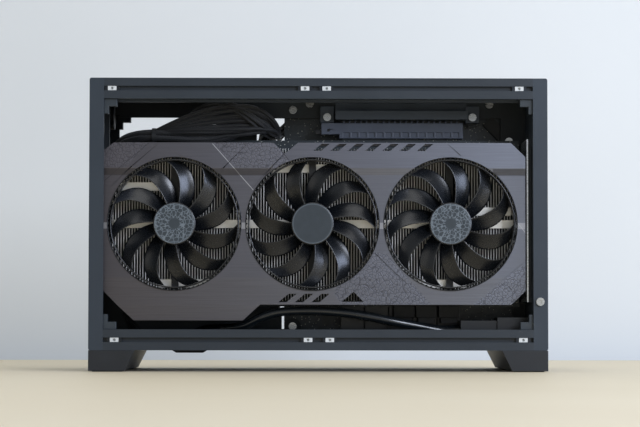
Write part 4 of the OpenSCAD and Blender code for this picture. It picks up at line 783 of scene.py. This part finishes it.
# %% Cable routes
PSU_TOP = 140.6
LOOM_LOW = [(-134, 20, PSU_TOP), (-134, 20, 145), (-137, 14, 150.6), (-142, 2, 157),
            (-144, -11, 162), (-138, -21, 165.5), (-129, -27, 167.4), (-118, -29, 168),
            (-104, -29, 167.6), (-90, -28, 166.6), (-76, -27, 167), (-64, -27, 170.5),
            (-53, -24, 176), (-43, -19, 178), (-37.5, -11, 177), (-37, -3, 175), (-38, 4, 171.5),
            (-39, 12, 164.5), (-37, 25, 154.5), (-28, 31, 149.5), (-20.5, 34, 141.5),
            (-18.7, 35, 131), (-18.7, 33, 121.5), (-18.7, 28.5, 117), (-18.7, 22, 117)]
LOOM_HIGH = [(-112, 22, PSU_TOP), (-112, 22, 145), (-109, 13, 153), (-104, -2, 168),
             (-97, -14, 178), (-85, -25, 187), (-70, -32, 190), (-58, -35, 187),
             (-48, -34.5, 180.5), (-40.5, -30, 175), (-35.5, -22, 171.5), (-31, -12, 170.6),
             (-29.5, 0, 170.6), (-23, 9, 178), (-10, 14, 189), (10, 15, 193), (40, 15, 193.5),
             (74, 16, 193), (96, 21, 192.4), (106, 28, 190.5), (111.5, 28, 186), (111.5, 22, 186)]
FAN_LOW = [(-118, -29, 170), (-104, -31, 170.5), (-87, -32, 169.5), (-70, -32, 169),
           (-55, -32, 170), (-44, -30, 171.5), (-36, -26, 172), (-32, -20, 171.5),
           (-30, -12, 170.6), (-29.5, 0, 170.6), (-25, 8, 176)]
FAN_HIGH = [(-118, -29, 171.5), (-104, -32, 178), (-87, -34, 185), (-70, -35, 189.4),
            (-55, -36, 190.2), (-44, -35, 188), (-35, -31, 182.5), (-30, -25, 176),
            (-29, -16, 171.6), (-29.5, 0, 170.6), (-25, 8, 176)]
LOOM_BACK = [(-60, 30, PSU_TOP), (-60, 30, 145), (-57, 33, 151), (-48, 38, 155),
             (-36, 43, 154), (-25, 45, 147), (-20.5, 45, 137), (-20, 45, 126), (-19.5, 41, 109),
             (-18.7, 34, 100), (-18.7, 28, 96), (-18.7, 22, 96)]
CARD_LOOM = [(78.1, -21.4, 34.1), (78.1, -21.4, 30), (75, -22.6, 25), (68, -24.6, 22),
             (56, -26.5, 21.2), (34, -28, 21.2), (4, -28, 21.2), (-32, -28, 21.2),
             (-68, -27, 21.2), (-100, -25, 21.2), (-122, -20, 23.4), (-135, -14.4, 33),
             (-139, -14.1, 52), (-139, -14.1, 84), (-139, -14.1, 116), (-139, -14.1, 149),
             (-138, -13.6, 158), (-135, -8, 163.5), (-131, -1, 164.5), (-126, 8, 161),
             (-122, 16, 153), (-121, 20, 146), (-121, 20, PSU_TOP)]
print("routes:", [len(route) for route in (LOOM_LOW, LOOM_HIGH, LOOM_BACK, CARD_LOOM)])

# %% [markdown]
# A bundle could be one thick tube with a bump map, but its outline would be that
# of a plain pipe. Here each wire is a thin tube of its own. In a bundle it turns
# slowly round the middle of the loom, and in the fan it lies between the lowest
# and the highest route. A few slow waves with random strength keep the wires
# from being parallel, and a fixed seed gives the same wires on every run.

# %% Cable looms
WIRE_SIDES, SPAN_STEPS = 9, 6


def bundle(route, wires, wire_r, loom_r, opened, seed):
    """Wires of a loom: centre + rho (n cos q + b sin q), where q turns slowly along the run and
    rho opens from loom_r - wire_r by up to the factor opened halfway along."""
    rng = np.random.default_rng(seed)
    path = smooth_path(route, SPAN_STEPS)
    n, b = carried_frame(path)
    s = np.linspace(0, 1, len(path))
    parts = []
    for k in range(wires):
        wander = sum(rng.normal(0, 0.5 / f) * np.sin(2 * np.pi * f * s + rng.uniform(0, 6.28))
                     for f in (1, 2, 3, 5))
        angle = 2 * np.pi * k / max(wires - 1, 1) + 2.2 * s + 0.5 * wander
        keep = 0 if k == wires - 1 else loom_r - wire_r
        grow = 1 + (opened - 1) * np.sin(np.pi * s) ** 1.5 * rng.uniform(0.4, 1)
        rho = (keep * grow + (grow - 1) * 1.2 * wander)[:, None]
        shift = rho * (np.cos(angle)[:, None] * n + np.sin(angle)[:, None] * b)
        parts.append(tube((path + shift) * MM, wire_r * MM, WIRE_SIDES)[:3])
    return joined([(p, f, uv * (1, 1 / MM)) for p, f, uv in parts])


def fanned(low, high, wires, wire_r, wander_mm, seed):
    """Wires that part at a tie and meet again: (1 - w) low + w high, with w from 0 to 1 across
    the fan and a slow wander that dies out at both ends."""
    rng = np.random.default_rng(seed)
    a, b = smooth_path(low, SPAN_STEPS), smooth_path(high, SPAN_STEPS)
    s = np.linspace(0, 1, len(a))
    parts = []
    for w in np.linspace(0, 1, wires) + rng.normal(0, 0.03, wires):
        drift = sum(np.outer(np.sin(np.pi * s * f), rng.normal(0, wander_mm / f, 3))
                    for f in (1, 2, 3))
        path = (1 - w) * a + w * b + drift * (1, 0.8, 0.6)
        parts.append(tube(path * MM, wire_r * MM, WIRE_SIDES)[:3])
    return joined([(p, f, uv * (1, 1 / MM)) for p, f, uv in parts])


looms = joined([bundle(LOOM_LOW, 8, 1.75, 5, 1.25, 3), bundle(LOOM_HIGH, 6, 1.4, 3.5, 1.3, 5),
                bundle(LOOM_BACK, 6, 1.4, 3.5, 1.2, 7), bundle(CARD_LOOM, 5, 1.3, 3.2, 1.05, 9),
                fanned(FAN_LOW, FAN_HIGH, 15, 1.55, 1.6, 11)])
loom_piece = make_piece("sleeved_looms", *looms[:2], sleeve, "chassis", "cable_sleeve",
                        uv=looms[2])
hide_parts("cable_loom")
print("loom faces:", len(looms[1]))

# %% [markdown]
# The mains lead is thick and stiff. It runs from the right-angle plug under the
# power supply to the back of the inlet, bows up where it comes forward under the
# card, and lies against the card's lower edge.

# %% Power lead
LEAD_D = 6.4
LEAD = [(-94.8, 24.5, 20), (-94.8, 14, 20), (-94, 2, 21.6), (-92, -8, 23.8), (-87, -18, 27.2),
        (-80, -27, 29.4), (-70, -35, 30), (-60, -41, 30.6), (-51, -46, 32.4), (-42, -49, 37.4),
        (-29, -50, 41.6), (-13, -50, 42.8), (4, -50, 42.6), (20, -50, 41.2), (36, -50, 38.6),
        (54, -49, 35), (72, -45, 31.6), (88, -41, 28.6), (100.8, -41, 28.6)]
lead_path = smooth_path(LEAD, 8) * MM
lead_points, lead_faces, lead_uv, lead_length = tube(lead_path, LEAD_D / 2 * MM, 20)
lead = make_piece("mains_lead", lead_points, lead_faces, jacket, "chassis", "cable_jacket",
                  uv=lead_uv)
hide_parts("power_lead")
print("lead length:", round(float(lead_length) / MM), "mm")

# %% [markdown]
# Where a thick lead leaves its plug, a sleeve of softer rubber keeps it from
# kinking. It starts wide at the plug and gets thinner until it meets the jacket.
# The tube helper takes one radius for every point of the path, so a falling row
# of radii gives the taper.

# %% Strain reliefs
def relief(path, wide_mm=9.4, thin_mm=6.7, length_mm=24):
    """A sleeve along the first length_mm of a path, tapering evenly from wide to thin."""
    run = np.concatenate([[0], np.cumsum(np.linalg.norm(np.diff(path, axis=0), axis=1))])
    part = path[run <= length_mm * MM]
    radii = np.linspace(wide_mm, thin_mm, len(part))[:, None, None] / 2 * MM
    return tube(part, radii, 20)[:3]


sleeves = joined([relief(lead_path), relief(lead_path[::-1])])
make_piece("lead_reliefs", *sleeves[:2], jacket, "chassis", "cable_jacket", uv=sleeves[2])
print("strain reliefs: 2")

# %% [markdown]
# The scene around the part is a pale floor that ends in a pale wall, as in the
# photograph. Both sheets show from their front only. From behind they are clear,
# so a camera at the back of the wall still sees the far side of the case.

# %% Floor and wall
def stage_sheet(name, profile, half_width, low, high):
    """A sheet that follows a profile of (y, z) and spans X."""
    p = np.array(profile, float)
    points = np.concatenate([np.column_stack([np.full(len(p), side * half_width), p])
                             for side in (-1, 1)])
    i = np.arange(len(p) - 1)
    faces = np.stack([i + len(p), i + 1 + len(p), i + 1, i], -1)
    mesh = bpy.data.meshes.new(name)
    mesh.from_pydata(points, [], faces)
    mesh.polygons.foreach_set("use_smooth", np.full(len(mesh.polygons), True))
    sheet = bpy.data.objects.new(name, mesh)
    bpy.context.scene.collection.objects.link(sheet)
    material, tree, shader, at = start(name + "_paint", Roughness=0.55)
    tree.links.new(mottled(tree, at, low, high, 300), shader.inputs["Base Color"])
    behind = add(tree, "NewGeometry").outputs["Backfacing"]
    clear = add(tree, "BsdfTransparent").outputs["BSDF"]
    shown = add(tree, "MixShader", {0: behind, 1: shader.outputs["BSDF"], 2: clear})
    surface = tree.nodes["Material Output"].inputs["Surface"]
    tree.links.new(shown.outputs["Shader"], surface)
    sheet.data.materials.append(material)
    return sheet


floor = stage_sheet("pale_floor", [(-2.2, 0), (0.42, 0)], 2.5, "#dbcdb0", "#e4d8bd")
wall = stage_sheet("pale_wall", [(0.47, -0.6), (0.47, 2.2)], 3.0, "#dfe3e4", "#e8ebec")
print("stage:", floor.name, wall.name)

# %% [markdown]
# The light comes from the right, as from a tall window: a broad key panel in
# front and a smaller, bluer one beside the case, whose reflection gives the fan
# blades their cold sheen. A panel overhead, a faint one on the left and an even
# pale surrounding keep the shadows open, and the left end stays darker.

# %% Lights
def soft_panel(name, place, aim, size, watts, colour):
    """A square area light at a place, turned towards a point."""
    data = bpy.data.lights.new(name, "AREA")
    data.size = size
    data.energy = watts
    data.color = linear(colour)[:3]
    light = bpy.data.objects.new(name, data)
    way = np.array(aim, float) - np.array(place, float)
    light.location = place
    flat = math.hypot(way[0], way[1])
    light.rotation_euler = (math.atan2(flat, -way[2]), 0, math.atan2(way[1], way[0]) - math.pi / 2)
    bpy.context.scene.collection.objects.link(light)
    return light


MIDDLE = (0, 0, 0.11)
soft_panel("key", (1.05, -1.6, 0.8), MIDDLE, 0.75, 21, "#e6eeff")
soft_panel("window", (1.9, -0.8, 0.45), MIDDLE, 0.9, 17, "#d3e1ff")
soft_panel("ceiling", (0.2, -0.3, 1.7), MIDDLE, 1.6, 10, "#ffffff")
soft_panel("fill", (-1.6, -1.6, 0.7), MIDDLE, 1.2, 1.5, "#fff6ea")
world = bpy.data.worlds.new("surrounding")
world.use_nodes = True
background = world.node_tree.nodes["Background"]
background.inputs["Color"].default_value = linear("#e4e8ea")
background.inputs["Strength"].default_value = 0.42
bpy.context.scene.world = world
bpy.context.scene.view_settings.view_transform = "Standard"
print("lights ready")

# %% [markdown]
# The last cell marks the end of the script.

# %% Finish
print("scene ready")
